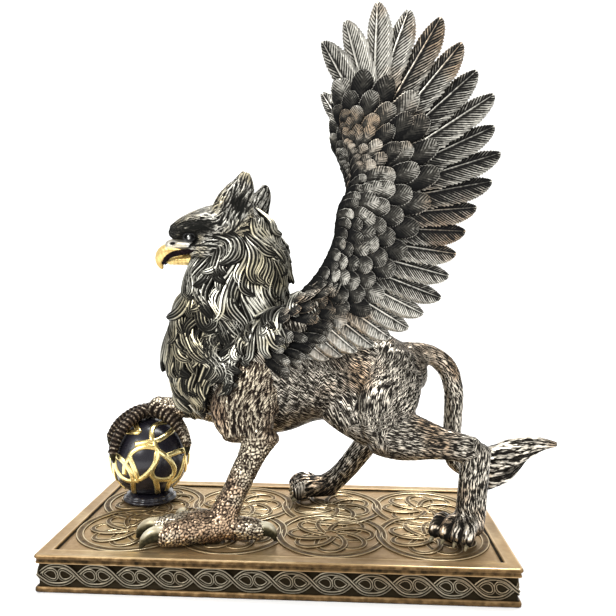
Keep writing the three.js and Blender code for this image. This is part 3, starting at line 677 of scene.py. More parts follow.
def lie(points, normals, runs, drop=0.35):
    """The way hair lies at each point: that of the limbs near it, a little downward, in the surface"""
    flow = np.zeros_like(points)
    for centres, ways, sizes in runs:
        for centre, way, size in zip(centres, ways, sizes):
            share = (np.linalg.norm(points - centre, axis=1) / size) ** -8
            flow += share[:, None] * way
    flow = unit(flow) - (0, 0, drop)
    return unit(flow - normals * (flow * normals).sum(1, keepdims=True))


def neighbours(points, seeds, count):
    """For each point, the seeds nearest to it and their distances"""
    tree = KDTree(len(seeds))
    for k, seed in enumerate(seeds):
        tree.insert(seed, k)
    tree.balance()
    found = [[(k, gap) for _, k, gap in tree.find_n(point, count)] for point in points]
    found = np.array(found)
    return found[..., 0].astype(int), found[..., 1]


def scattered(points, spacing, seed):
    """Indices of points picked at random, one in each cell of the given size"""
    order = np.random.default_rng(seed).permutation(len(points))
    cells = np.floor(points[order] / spacing).astype(int)
    return order[np.unique(cells, axis=0, return_index=True)[1]]


def strand_places(points, limbs, slant=0.3):
    """For each point, how far along and how far round the limb nearest to it, drawn out along the limb.
    `slant` turns the lines across the limb, and may be given for each limb"""
    best = np.full(len(points), np.inf)
    places = np.zeros((len(points), 3))
    slants = np.broadcast_to(slant, len(limbs))
    for number, stations in enumerate(limbs):
        table = along(stations, 30)
        tangent = unit(np.gradient(table[:, :3], axis=0))
        side = unit(np.cross(tangent, (0.0, 0.3, 1.0)))
        for row, way, across, gone in zip(table, tangent, side, gone_at(table[:, :3])):
            offset = points - row[:3]
            size = (row[3] + row[4]) / 2
            gap = np.linalg.norm(offset, axis=1) / size
            near = gap < best
            best[near] = gap[near]
            step = offset[near]
            forward = gone + step @ way
            turn = np.arctan2(step @ np.cross(way, across), step @ across) * size
            slope = slants[number] * np.sign(step[:, 1])
            places[near] = np.stack([STRAND_ALONG * forward, STRAND_ACROSS * (turn + slope * forward),
                                     np.full(len(step), 7.0 * number)], 1)
    return places


def strokes(points, normals, flow, length, width, seed, spacing=None, sway=0.25):
    """Heights from 0 to 1 of pointed strokes that overlap like shingles along a flow"""
    roots = scattered(points, spacing or 0.75 * math.sqrt(length * width), seed)
    chance = np.random.default_rng(seed + 1)
    near, _ = neighbours(points, points[roots], 10)
    cross = np.cross(normals[roots], flow[roots])
    aim = unit(flow[roots] + cross * chance.normal(0, sway, (len(roots), 1)))
    cross = np.cross(normals[roots], aim)
    longer = length * chance.uniform(0.75, 1.25, len(roots))
    wider = width * chance.uniform(0.75, 1.3, len(roots))
    level = chance.uniform(0.8, 1.1, len(roots))
    offset = points[:, None] - points[roots][near]
    t = (offset * aim[near]).sum(2) / longer[near] + 0.5
    v = (offset * cross[near]).sum(2) / (0.5 * wider[near])
    inside = np.clip(t, 0, 1)
    taper = np.sqrt(np.clip(np.sin(np.pi * inside ** 0.75), 1e-4, 1))
    height = level[near] * (0.35 + 0.65 * inside) * np.clip(1 - (v / taper) ** 2, 0, 1)
    facing = (normals[:, None] * normals[roots][near]).sum(2) > 0.2
    return np.where((t > 0) & (t < 1) & facing, height, 0).max(1)


def paw_parts(x, y, heading):
    """A paw's pad and four toes, their claws, and the toes' stations"""
    ahead = np.array((math.cos(math.radians(heading)), math.sin(math.radians(heading))))
    side = np.array((-ahead[1], ahead[0]))
    across = (*side, 0)

    def placed(table, offset):
        return [(*((x, y) + ahead * f + side * offset * (1 + TOE_SPLAY * f)), z, a, b)
                for f, z, a, b in table]

    toe_rows = [placed(PAW_TOE, offset) for offset in PAW_SPREAD]
    flesh = [limb(rows, side=across) for rows in [placed(PAW_PAD, 0), *toe_rows]]
    claws = [limb(placed(PAW_CLAW, offset), side=across, nose=(0.2, 0.4), rows=10, columns=10)
             for offset in PAW_SPREAD]
    return flesh, claws, toe_rows


def wing_place(x, z, hand):
    """A place in a wing, which leans outward as it rises"""
    rise = np.asarray(z, float) - WING_FOOT_Z
    advance = FAR_WING_ADVANCE * rise if hand > 0 else 0 * rise
    return np.stack([np.asarray(x, float) - advance, hand * (WING_ROOT_Y + WING_LEAN * rise),
                     np.asarray(z, float)], -1)


def wing_roots():
    """The roots of both wings, as limbs"""
    rows = [[(*wing_place(x, z, hand), a, b) for x, z, a, b in WING_ROOT] for hand in (-1, 1)]
    return [limb(stations, side=(1, 0, 0), nose=(0.8, 1)) for stations in rows]


near_paw, near_claws, near_toes = paw_parts(*NEAR_PAW)
far_paw, far_claws, far_toes = paw_parts(*FAR_PAW)
body_parts = [limb(TORSO, columns=32), *(limb(stations) for stations in [FLANK, *HIND_LEGS])]
body_parts += [limb(TAIL, rows=50), *near_paw, *far_paw, *wing_roots()]
body = skin("griffin_body", body_parts, BODY_VOXEL, smoothing=8)
points, normals = surface(body)
runs = [run(TORSO, -1), *(run(stations) for stations in [*HIND_LEGS, TAIL])]
flow = lie(points, normals, runs, drop=0.9)
fur = strokes(points, normals, flow, FUR_LENGTH, FUR_WIDTH, 11)
fine = strokes(points, normals, flow, UNDERFUR_LENGTH, UNDERFUR_WIDTH, 12, spacing=UNDERFUR_SPACING)
relief = 0.06 + 0.62 * np.maximum(fur, 0.72 * fine)
gaps = np.array([neighbours(points, along(rows, 12)[:, :3], 1)[1][:, 0] for rows in near_toes + far_toes])
gaps.sort(axis=0)
on_toe = np.clip((TOE_REACH - gaps[0]) / 2, 0, 1) * np.clip((TOE_TOP - points[:, 2]) / 3, 0, 1)
# Painted shade on the toes: darker in the gaps between them and on the sides that face down, lighter along
# their tops
toe_gap_and_underside_shade = np.clip((gaps[1] - gaps[0]) / 2.6, 0, 1) * np.clip(0.7 + 0.6 * normals[:, 2], 0.2, 1)
relief = (1 - on_toe) * relief + on_toe * toe_gap_and_underside_shade * (0.6 + 0.3 * relief)
low = np.clip((points[:, 2] - 4) / 14, 0.25, 1)
slants = [0.9] + [0] * (len(HIND_LEGS) + 1)
places = strand_places(points, [TORSO, *HIND_LEGS, TAIL], slants)
tail = np.clip((points[:, 0] - 74) / 8, 0, 1) * (points[:, 1] > -8) * (points[:, 2] > 20)
carve(body, points + normals * (FUR_DEPTH * low * relief - FUR_SINK)[:, None], relief=relief, strand=places,
      tone=0.1 * tail - 0.06 * np.clip((45 - points[:, 0]) / 20, 0, 1))
BROWN_FUR = patina("dark_fur_rubbed_champagne", (0.008, 0.007, 0.006), (0.05, 0.043, 0.034),
                   (0.8, 0.73, 0.61), (0.58, 0.41, 0.26), patches=(22, 0.57), edges=(0.58, 1.0),
                   shine=(0, 0.95), roughness=(0.5, 0.32), grain=(650, 0.12), strands=3.8)
body.data.materials.append(BROWN_FUR)
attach(body, "root")
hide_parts("griffin")

# Forelegs: lion's arms that end in an eagle's feet. Below the elbow they are covered with pebbly
# scales. The near foot stands with its toes spread, and the far foot grips the top of the orb.
NEAR_ARM = [(-14, -13, 90, 13, 18), (-17, -18, 77, 12.5, 17.5), (-20, -21.5, 65, 11, 18.5),
            (-18, -25, 55, 8.5, 14)]
NEAR_FORELEG = [(-10.5, -26.5, 55, 7.4, 10.5), (-15, -28, 44, 6.2, 7.2), (-20, -30, 33, 5.8, 6.6),
                (-25, -32, 22, 5.8, 6.4), (-30, -34, 11, 7, 7.5), (-33, -35, 6.5, 8, 6.5)]
NEAR_TOES = [
    [(-31, -35, 7, 7, 7.5), (-43, -40, 6.6, 6.2, 6.8), (-53, -44, 6, 5.6, 6.2), (-59, -46.3, 5.6, 4.6, 5.2)],
    [(-31, -34, 8, 7, 8), (-45, -34.5, 7, 6, 6.8), (-57, -35.4, 6.4, 5.4, 6.2), (-64, -35.9, 5.8, 4.5, 5.2)],
    [(-31, -33, 7, 6.5, 7), (-40, -27, 6.4, 5.6, 6.2), (-48, -22, 5.9, 5, 5.6), (-52.5, -19, 5.4, 4.2, 4.8)],
    [(-30, -34.5, 7, 6.5, 7), (-21, -34.5, 6.2, 5.6, 6), (-13, -34.8, 5.8, 5, 5.4),
     (-9.5, -35, 5.4, 4.2, 4.8)],
]
NEAR_TALONS = [
    [(-58, -46, 6.6, 3.8, 4.6), (-63, -47.8, 6.6, 3.2, 4), (-67, -49.2, 4, 2.2, 2.6),
     (-68.6, -49.8, 1, 0.8, 1)],
    [(-63, -35.9, 6.8, 3.7, 4.6), (-68.5, -36.3, 6.6, 3.1, 4), (-72.6, -36.5, 4, 2.1, 2.6),
     (-74.2, -36.6, 1, 0.8, 1)],
    [(-52, -19.4, 6.2, 3.4, 4.2), (-55.6, -17, 6, 2.8, 3.6), (-58, -15.4, 3.6, 1.9, 2.3),
     (-58.8, -14.9, 1, 0.8, 0.9)],
    [(-10, -35, 6.2, 3.4, 4.2), (-5.8, -35.2, 6, 2.9, 3.7), (-3, -35.3, 3.6, 2, 2.4),
     (-2.2, -35.3, 1, 0.8, 0.9)],
]
# Each gripping toe's bearing over the orb, the angles from the top where it starts and ends, and how much
# stouter than the others its root is
GRIP_TOES = [(178, -2, 66, 1), (232, -2, 74, 1), (345, 8, 70, 1.55), (105, -2, 68, 1)]
GRIP_TOE_HALVES = np.array((4.3, 3.8, 3.3, 3.0, 2.7))
GRIP_TALON_HALVES = [2.5, 2.1, 1.4, 0.5]
GRIP_RADIUS = ORB_RADIUS + STRAP_RISE_ON_ORB + 0.3
PALM_TILT = 12
PALM_HALF_THICKNESS = 6
SCALE_SPACING = 1.8
SCALE_DEPTH, SCALE_SINK = 0.75, 0.3
RING_SPACING = 2.2
ARM_FUR_LENGTH, ARM_FUR_WIDTH = 5.5, 1.6
NEAR_ELBOW, FAR_ELBOW = 50.0, 56.0
FORELEG_VOXEL = 0.62


def on_orb(bearing, from_top, proud):
    """A place over the orb in the griffin's own heights, at a bearing and an angle from the top"""
    b, p = math.radians(bearing), math.radians(from_top)
    spoke = np.array((math.sin(p) * math.cos(b), math.sin(p) * math.sin(b), math.cos(p)))
    return ORB_CENTRE - (0, 0, GROUND) + spoke * (GRIP_RADIUS + proud)


palm = on_orb(0, PALM_TILT, 1.1 * PALM_HALF_THICKNESS)
FAR_ARM = [(-18, 11, 82, 12, 17), (-29, 16, 69, 10.5, 14), (-41, 20, 59, 8.6, 10.5),
           (-54, 23, palm[2] + 0.8, 7, 7), (-66, 24.5, palm[2], 6.6, 6), (*palm, 7.4, PALM_HALF_THICKNESS)]
ARMS = [NEAR_ARM, NEAR_FORELEG, FAR_ARM]
grip_toes, grip_talons = [], []
for bearing, first, last, stout in GRIP_TOES:
    side = (-math.sin(math.radians(bearing)), math.cos(math.radians(bearing)), 0)
    halves = GRIP_TOE_HALVES * (1 + (stout - 1) * np.linspace(1, 0, 5))
    toe = [(*on_orb(bearing, angle, half), half, half)
           for angle, half in zip(np.linspace(first, last, 5), halves)]
    grip_toes.append((toe, side))
    talon = [(*on_orb(bearing, last - 3 + 5.5 * k, 0.9 * half + 0.4), half, half)
             for k, half in enumerate(GRIP_TALON_HALVES)]
    grip_talons.append((talon, side))
foreleg_parts = [limb(NEAR_ARM), limb(NEAR_FORELEG), limb(FAR_ARM, rows=40)]
foreleg_parts += [limb(toe) for toe in NEAR_TOES] + [limb(toe, side=side) for toe, side in grip_toes]
forelegs = skin("griffin_forelegs", foreleg_parts, FORELEG_VOXEL, smoothing=1)
points, normals = surface(forelegs)
runs = [run(stations) for stations in ARMS + NEAR_TOES]
flow = lie(points, normals, runs)
seeds = points[scattered(points, SCALE_SPACING, 21)]
_, gaps = neighbours(points, seeds, 2)
pebble = np.clip((gaps[:, 1] - gaps[:, 0]) / (0.55 * SCALE_SPACING), 0, 1) ** 0.6
tufts = 0.85 * strokes(points, normals, flow, ARM_FUR_LENGTH, ARM_FUR_WIDTH, 22)
elbow = np.where(points[:, 1] < 0, NEAR_ELBOW, FAR_ELBOW)
furry = np.clip((points[:, 2] - elbow) / 6, 0, 1) * np.where(points[:, 0] < -52, 0, 1)
from_top = points - (ORB_CENTRE - (0, 0, GROUND))
far = np.linalg.norm(from_top, axis=1)
gripping = np.clip((-62 - points[:, 0]) / 4, 0, 1) * np.clip((ORB_RADIUS + 12 - far) / 3, 0, 1)
bars = np.abs(np.sin(math.pi * np.arccos(from_top[:, 2] / far) * GRIP_RADIUS / RING_SPACING)) ** 0.7
pebble = (1 - gripping) * pebble + gripping * bars * (0.6 + 0.4 * pebble)
relief = furry * tufts + (1 - furry) * pebble
places = strand_places(points, ARMS)
places[furry < 0.5] = 0
carve(forelegs, points + normals * (SCALE_DEPTH * relief - SCALE_SINK)[:, None], relief=relief, strand=places,
      tone=0.08 * np.clip((25 - points[:, 2]) / 10, 0, 1) * (1 - gripping) - 0.28 * gripping)
SCALY = patina("dark_scales_rubbed_copper_and_gold", (0.008, 0.006, 0.005), (0.06, 0.042, 0.03),
               (0.82, 0.72, 0.54), (0.62, 0.44, 0.29), patches=(45, 0.54), edges=(0.55, 0.92),
               shine=(0, 0.95), roughness=(0.5, 0.28), grain=(500, 0.2), strands=1.8)
forelegs.data.materials.append(SCALY)
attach(forelegs, "root")
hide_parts("griffin")

# Talons and claws: smooth hooked points at the ends of the toes, of the same casting. They are painted
# like bone, pale along the top and dark down the sides.


def talon_part(stations, side=(0, 1, 0)):
    """One talon, pale along its upper edge and dark down its sides"""
    points, faces, _ = limb(stations, side=side, nose=(0.2, 1.2), rows=18, columns=18)
    core = along(stations, 60)[:, :3]
    near, gap = neighbours(points, core, 1)
    over = (points[:, 2] - core[near[:, 0], 2]) / np.maximum(gap[:, 0], 0.1)
    return points, faces, {"relief": np.clip(0.2 + 1.1 * (over - 0.35), 0.12, 0.95)}


talon_parts = [talon_part(talon) for talon in NEAR_TALONS]
talon_parts += [talon_part(talon, side) for talon, side in grip_talons]
talon_parts += [(points, faces, {"relief": np.full(len(points), 0.4)})
                for points, faces, _ in near_claws + far_claws]
points, faces, attributes = gather(talon_parts)
points[:, 2] = np.maximum(points[:, 2], 0)
talons = mesh_object("griffin_talons", points + (0, 0, GROUND), faces, **attributes)
talons.data.materials.append(patina("bone_talon", (0.02, 0.018, 0.01), (0.12, 0.1, 0.055), (0.8, 0.74, 0.56),
                                    (0.6, 0.52, 0.36), patches=(70, 0.5), edges=(0.4, 0.9), shine=(0.2, 0.35),
                                    roughness=(0.45, 0.25), grain=(500, 0.15)))
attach(talons, "root")
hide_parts("griffin")

# Head: an eagle's skull with heavy brows and tall ears, cast with the neck. Its short feathers are
# cut as fine strokes swept back from the beak, and each ear is hollowed on its outer side.
SKULL = [(-14, 0, 161, 9, 8), (-24, 0, 164, 14, 13.5), (-36, 0, 165.5, 15, 13), (-48, 0, 165, 13.5, 10.5),
         (-57, 0, 163.6, 10.5, 7.6), (-62.5, 0, 162.2, 7, 5.4)]
CHEEK = [(-28, 6, 153, 9, 8), (-40, 6.5, 153, 8, 7.5), (-51, 4, 153, 6, 5)]
THROAT = [(-28, 0, 140, 13, 11), (-42, 0, 143.5, 10, 8.5), (-52, 0, 146.5, 7, 4.5)]
NEAR_EAR = [(-30.5, -9.5, 167, 4.5, 13), (-27, -11, 178, 4, 10.5), (-23, -12, 187, 3, 6.6),
            (-21.4, -12.3, 193.4, 1.7, 2.6)]
FAR_EAR = [(-22, 9.5, 169, 4.5, 9.5), (-18, 12, 178, 3.6, 7.4), (-14.5, 14, 186, 2.4, 4.2),
           (-13.6, 14.5, 190, 1.3, 2)]
BROW = [(-63.6, 3.2, 161.6, 2.8, 3.1), (-58.6, 8.2, 162.4, 3.4, 3.2), (-51, 11.4, 164, 3.2, 2.8),
        (-43, 13.4, 165.4, 2, 2)]
EYE = np.array((-52.8, 9.9, 159))
EYE_RADIUS = 1.9
EYE_HOLLOW, EYE_HOLLOW_DEPTH = 3.2, 1.3
BROW_SHADOW = 4.6
EAR_CUP = np.array((-24.5, 0, 176.5))
EAR_CUP_SIZE = (3.4, 4.2)
EAR_CUP_DEPTH = 2
HEAD_FEATHER_LENGTH, HEAD_FEATHER_WIDTH = 6.5, 1.35
HEAD_FEATHER_DEPTH, HEAD_FEATHER_SINK = 0.5, 0.15
PALE_CROWN_Z, PALE_CROWN_X = 168, -34
HEAD_VOXEL = 0.55


def mirrored(stations):
    """Stations on the other side of the griffin's middle"""
    return [(x, -y, *rest) for x, y, *rest in stations]


# The head's limbs, and whether the feathers lie along them or back over them
HEAD_LIMBS = [(SKULL, -1), (NEAR_EAR, 1), (FAR_EAR, 1), (CHEEK, -1), (mirrored(CHEEK), -1), (THROAT, -1)]
head_parts = [limb(SKULL), limb(THROAT), limb(NEAR_EAR), limb(FAR_EAR)]
for stations in (CHEEK, BROW):
    head_parts += [limb(stations), limb(mirrored(stations))]
head = skin("griffin_head", head_parts, HEAD_VOXEL, smoothing=2)
points, normals = surface(head)
flow = lie(points, normals, [run(stations, way) for stations, way in HEAD_LIMBS], drop=0.1)
feathers = strokes(points, normals, flow, HEAD_FEATHER_LENGTH, HEAD_FEATHER_WIDTH, 31, sway=0.15)
dip = np.zeros(len(points))
bare = np.zeros(len(points))
dark = np.zeros(len(points))
for hand in (-1, 1):
    gap = np.linalg.norm(points - EYE * (1, hand, 1), axis=1)
    dip += EYE_HOLLOW_DEPTH * np.exp(-(gap / EYE_HOLLOW) ** 2)
    bare = np.maximum(bare, np.clip(1.6 - gap / 3.6, 0, 1))
    brow = along(BROW if hand > 0 else mirrored(BROW), 16)[:, :3]
    _, gap = neighbours(points, brow, 1)
    dark = np.maximum(dark, np.exp(-(gap[:, 0] / BROW_SHADOW) ** 4))
    offset = (points - EAR_CUP)[:, [0, 2]] / EAR_CUP_SIZE
    cup = np.exp(-(offset ** 2).sum(1)) * (points[:, 1] * hand > 9.5) * (normals[:, 1] * hand > 0)
    dip += EAR_CUP_DEPTH * cup
    bare = np.maximum(bare, np.clip(0.6 * cup, 0, 0.45))
relief = feathers * (1 - bare)
crown = (np.clip((points[:, 2] - PALE_CROWN_Z) / 3, 0, 1)
         * np.clip((PALE_CROWN_X - points[:, 0]) / 5, 0, 1))
places = strand_places(points, [stations for stations, way in HEAD_LIMBS], slant=0)
lift = HEAD_FEATHER_DEPTH * relief - HEAD_FEATHER_SINK - dip
carve(head, points + normals * lift[:, None], relief=relief, strand=places,
      tone=0.22 * crown - 0.5 * np.maximum(dark * (1 - crown), bare))
FEATHERED = patina("dark_feathers_rubbed_silver", (0.008, 0.008, 0.007), (0.045, 0.042, 0.036),
                   (0.62, 0.6, 0.53), (0.66, 0.58, 0.4), patches=(45, 0.5), edges=(0.55, 1.0),
                   shine=(0, 0.95), roughness=(0.5, 0.3), grain=(700, 0.2), strands=1.2)
head.data.materials.append(FEATHERED)
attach(head, "root")
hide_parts("griffin")

# Beak: a strong hooked upper half over a shorter lower one, painted horn yellow, with a pale fleshy
# cere at its root and nostrils. The corner of the mouth runs back below the eye as a dark line.
UPPER_BEAK = [(-58, 0, 151.6, 6, 3.4), (-64, 0, 151.8, 5.4, 4.2), (-68.4, 0, 150.7, 4.5, 4.7),
              (-71.2, 0, 147.6, 3.2, 3.7), (-71.8, 0, 144.6, 2, 2.2), (-70.8, 0, 142, 0.9, 1)]
LOWER_BEAK = [(-46, 0, 147, 7, 3.4), (-55, 0, 146.6, 5.8, 3.1), (-61.5, 0, 146.2, 4.3, 2.6),
              (-66.4, 0, 145.4, 2.6, 1.5)]
CERE = [(-52, 0, 154.8, 8.4, 4.6), (-59, 0, 155, 7.2, 4), (-63.6, 0, 155, 5.9, 3.8),
        (-66.8, 0, 154.2, 4.7, 3.4)]
NOSTRIL = np.array((-63.6, 5.6, 156))
NOSTRIL_SIZE = (1.7, 2.5, 1.0)
NOSTRIL_DEPTH = 1.5
HORN_GROOVE_DEPTH = 0.08
MOUTH = [(-69.6, 1.6, 144.6, 0.9, 1), (-67.6, 3.3, 147.2, 1.1, 1.4), (-64, 5, 149.4, 1.3, 1.6),
         (-59, 6.9, 150.6, 1.4, 1.6), (-53, 8.7, 151.4, 1.4, 1.4), (-47, 10.4, 152.4, 1, 0.9)]
BEAK_VOXEL = 0.5
HORN = patina("horn_yellow_beak", (0.06, 0.04, 0.01), (0.3, 0.2, 0.06), (0.72, 0.54, 0.22),
              (0.55, 0.38, 0.14), patches=(80, 0.5), edges=(0.3, 0.85), shine=(0.15, 0.5),
              roughness=(0.4, 0.25), grain=(400, 0.3))
beak = skin("griffin_beak", [limb(half, nose=(0.3, 1)) for half in (UPPER_BEAK, LOWER_BEAK)], BEAK_VOXEL)
points, normals = surface(beak)
grooves = 0.5 + 0.5 * np.sin(2.6 * points[:, 0] + 1.2 * points[:, 2])
carve(beak, points + normals * HORN_GROOVE_DEPTH * grooves[:, None], relief=0.62 + 0.3 * grooves)
beak.data.materials.append(HORN)
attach(beak, "root")
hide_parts("griffin")

cere = skin("griffin_cere", [limb(CERE, nose=(0.4, 0.5))], BEAK_VOXEL)
points, normals = surface(cere)
dip = np.zeros(len(points))
for hand in (-1, 1):
    offset = (points - NOSTRIL * (1, hand, 1)) / NOSTRIL_SIZE
    dip += np.exp(-(offset ** 2).sum(1))
carve(cere, points - normals * (NOSTRIL_DEPTH * dip)[:, None], relief=np.clip(0.75 - 1.3 * dip, 0, 1))
cere.data.materials.append(patina("pale_cere", (0.012, 0.011, 0.01), (0.16, 0.15, 0.135), (0.5, 0.49, 0.45),
                                  (0.55, 0.5, 0.38), patches=(80, 0.5), edges=(0.35, 0.8), shine=(0.3, 0.7),
                                  grain=(600, 0.2)))
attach(cere, "root")
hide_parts("griffin")

points, faces, _ = gather([limb(stations, rows=24, columns=8) for stations in (MOUTH, mirrored(MOUTH))])
mouth = mesh_object("griffin_mouth", points + (0, 0, GROUND), faces, relief=np.full(len(points), 0.3))
mouth.data.materials.append(patina("dark_mouth", (0.003, 0.002, 0.002), (0.008, 0.004, 0.006),
                                   (0.1, 0.06, 0.06), (0.08, 0.05, 0.05), shine=(0.1, 0.3)))
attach(mouth, "root")
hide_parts("griffin")

# Eyes: silver beads set deep under the brows, each between two lids. They are cast with the head, and
# the beads are polished bright while the lids are left dark.
SILVER = patina("silver_eye", (0.03, 0.03, 0.03), (0.3, 0.3, 0.3), (0.55, 0.55, 0.54), (0.5, 0.5, 0.47),
                shine=(0.7, 1.0), roughness=(0.3, 0.12), grain=(500, 0.05))
eye_parts = []
for hand in (-1, 1):
    centre = EYE * (1, hand, 1)
    bead = [(*(centre + (shift, 0, 0)), EYE_RADIUS, EYE_RADIUS) for shift in (-0.1, 0.1)]
    eye_parts.append(limb(bead, nose=(1, 1), rows=3, columns=24))
    for lid, tilt in ((1, 0.3), (-1, 0)):
        arc = [(centre[0] - 3 * math.cos(a), centre[1] + hand * (1.2 * math.sin(a) - 0.1 + 0.5 * math.cos(a)),
                centre[2] + lid * 1.9 * math.sin(a) + tilt, 0.6, 0.6) for a in np.linspace(0.1, 3.0, 7)]
        eye_parts.append(limb(arc, rows=16, columns=8))
points, faces, _ = gather(eye_parts)
gap = np.minimum(*(np.linalg.norm(points - EYE * (1, hand, 1), axis=1) for hand in (-1, 1)))
eyes = mesh_object("griffin_eyes", points + (0, 0, GROUND), faces,
                   relief=np.where(gap < EYE_RADIUS * 1.02, 0.9, 0.05))
eyes.data.materials.append(SILVER)
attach(eyes, "root")
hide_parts("griffin")

# Mane: long locks of strands that sway down from the head to the breast and shoulders, cast with the
# neck. Each lock has parallel ridges, and ends in a curling point over the one below.
NECK = [(-52, 0, 67, 12, 12), (-47, 0, 75, 20, 23.5), (-41, 0, 88, 24.5, 30.5), (-35, 0, 105, 25.5, 33),
        (-31, 0, 121, 24.5, 32), (-27.5, 0, 136, 22, 30.5), (-26, 0, 150, 18.5, 26.5), (-31, 0, 162, 14, 20)]
LOCK_SPACING = 6.4
LOCK_STEP = 1.9
LOCK_PLACES = 18
LOCK_SINK = 3
STRANDS_PER_MM = 1.0
SWAY_LENGTH = 33
SWAY = 0.72
# What chance gives each lock: its length and sway as shares, its curl, its half width, and its point's lift
LOCK_LENGTHS, LOCK_SWAYS, LOCK_CURLS = (0.8, 1.2), (0.5, 1.5), (0.4, 2.8)
LOCK_HALVES, LOCK_LIFTS = (2.4, 4.5), (1.8, 5.2)
LOCK_WIDEST = 0.45
# The share of its length where a lock starts to curl, and how tightly
CURL_START, CURL = 0.6, 8
NECK_RIDGE = 0.9
NECK_RINGS, NECK_COLUMNS = 56, 120
MANE_BASE_VOXEL = 1.6
# Where no lock grows: above the top, on the face and the crown, and low on the back
MANE_TOP = 176
FACE_Z, FACE_X = 149, -43
CROWN_Z, CROWN_X = 163, -19
BACK_Z, BACK_X = 128, 3
# The mane's lower end at the breast, from where it rises toward the shoulders
MANE_LOW_Z, MANE_LOW_X, MANE_LOW_SLOPE = 59, -58, 0.84


def lock_section(strands):
    """Round a lock: across, height and relief, with a ridge for each strand and a plain underside"""
    column = np.arange(2 * strands + 1)
    across = 1 - column / strands
    ridge = column % 2
    dome = np.sqrt(np.clip(1 - across ** 2, 0, 1))
    top = np.stack([across, 0.5 * dome + 0.5 * ridge * (0.5 + 0.5 * dome), 0.98 * ridge + 0.02], 1)
    return np.concatenate([top, [(-0.6, -0.5, 0), (0.6, -0.5, 0)]])


def sway_at(place):
    """How far hair bends to one side at a place, so that locks beside each other bend as one"""
    x, y, z = place
    phase = 0.1 * x + 1.2 * math.sin(0.13 * x + 0.05 * z) + 1.2 * math.sin(0.12 * y + 0.03 * x)
    return SWAY * math.sin(2 * math.pi * z / SWAY_LENGTH + phase)


def trace(tree, start, aim, places, step, sway, curl):
    """A path that follows a surface along an aim, swaying from side to side and curling at its end"""
    place, normal = tree.find_nearest(Vector(start))[:2]
    path, out = [], []
    for k in range(places):
        t = k / (places - 1)
        way = Vector(aim(np.array(place)))
        way -= normal * way.dot(normal)
        way.normalize()
        way += normal.cross(way) * (sway * sway_at(place) + curl * CURL * max(0, t - CURL_START) ** 1.5)
        way.normalize()
        path.append(place)
        out.append(normal)
        place, found = tree.find_nearest(place + way * step)[:2]
        normal = (normal * 0.5 + found * 0.5).normalized()
    return np.array(path), np.array(out)


def lock(path, out, half, thickness, lift, strands):
    """A lock of strands along a path, pointed at both ends and lifting off the surface"""
    t = np.linspace(0, 1, len(path))
    late = np.clip((t - LOCK_WIDEST) / (1 - LOCK_WIDEST), 0, 1)
    spread = np.sqrt(np.minimum(t / LOCK_WIDEST + 0.12, 1) * np.clip(1 - late ** 2, 0.002, 1))
    halves = np.stack([half * spread, thickness * (0.4 + 0.6 * spread)], 1)
    raised = path + out * (lift[0] + (lift[1] - lift[0]) * t ** 1.2)[:, None]
    return ribbon(raised, out, halves, lock_section(strands))


slim_neck = [(x, y, z, a - LOCK_SINK, b - LOCK_SINK) for x, y, z, a, b in NECK]
base_parts = [limb(slim_neck, columns=32), limb(TORSO, columns=32), limb(NEAR_ARM), limb(FAR_ARM),
              limb(SKULL), limb(THROAT), *wing_roots()]
base = skin("mane_base", base_parts, MANE_BASE_VOXEL, smoothing=4)
base_points, base_normals = surface(base)
polygons = [tuple(polygon.vertices) for polygon in base.data.polygons]
base_tree = BVHTree.FromPolygons([Vector(point) for point in base_points], polygons)
bpy.data.objects.remove(base)

neck = along(NECK, 60)
neck_points, neck_faces, _ = limb(slim_neck, rows=NECK_RINGS, columns=NECK_COLUMNS)
core = along(slim_neck, NECK_RINGS)[:, :3]
core = core[neighbours(neck_points, core, 1)[0][:, 0]]
ridge = np.arange(len(neck_points)) % NECK_COLUMNS % 2
locks = [(neck_points + unit(neck_points - core) * (NECK_RIDGE * ridge - 0.4)[:, None], neck_faces,
          {"relief": 0.92 * ridge, "tone": np.zeros(len(neck_points))})]
neck_way = -unit(np.gradient(neck[:, :3], axis=0))


def down_neck(place):
    """The way the mane falls: back from the cheeks, then down the neck over the breast and shoulders"""
    k = np.abs(neck[:, 2] - place[2]).argmin()
    cheek = np.clip((place[2] - 146) / 12, 0, 1) * np.clip((-26 - place[0]) / 16, 0, 1)
    shoulder = np.clip((108 - place[2]) / 16, 0, 1) * np.clip((abs(place[1]) - 8) / 10, 0, 1)
    down = neck_way[k] * 0.8 + np.array((0.1 + 0.55 * shoulder, 0, -0.55))
    return (1 - cheek) * down + cheek * np.array((1.1, 0, -0.5))


def mane_end(x):
    """How low the mane hangs over the breast and shoulders"""
    return MANE_LOW_Z + MANE_LOW_SLOPE * max(0, x - MANE_LOW_X)


def in_mane(place):
    """Whether a lock has its root at a place"""
    x, y, z = place
    k = np.abs(neck[:, 2] - z).argmin()
    if z > MANE_TOP or abs(y) < 3 and x < -50:
        return False
    near_neck = abs(x - neck[k, 0]) < 1.25 * neck[k, 4] + 3
    face = z > FACE_Z and x < FACE_X + 0.3 * (z - FACE_Z)
    crown = z > CROWN_Z and x < CROWN_X
    behind = x > BACK_X and z < BACK_Z
    low = z < mane_end(x) + 9
    return near_neck and not (face or crown or behind or low)
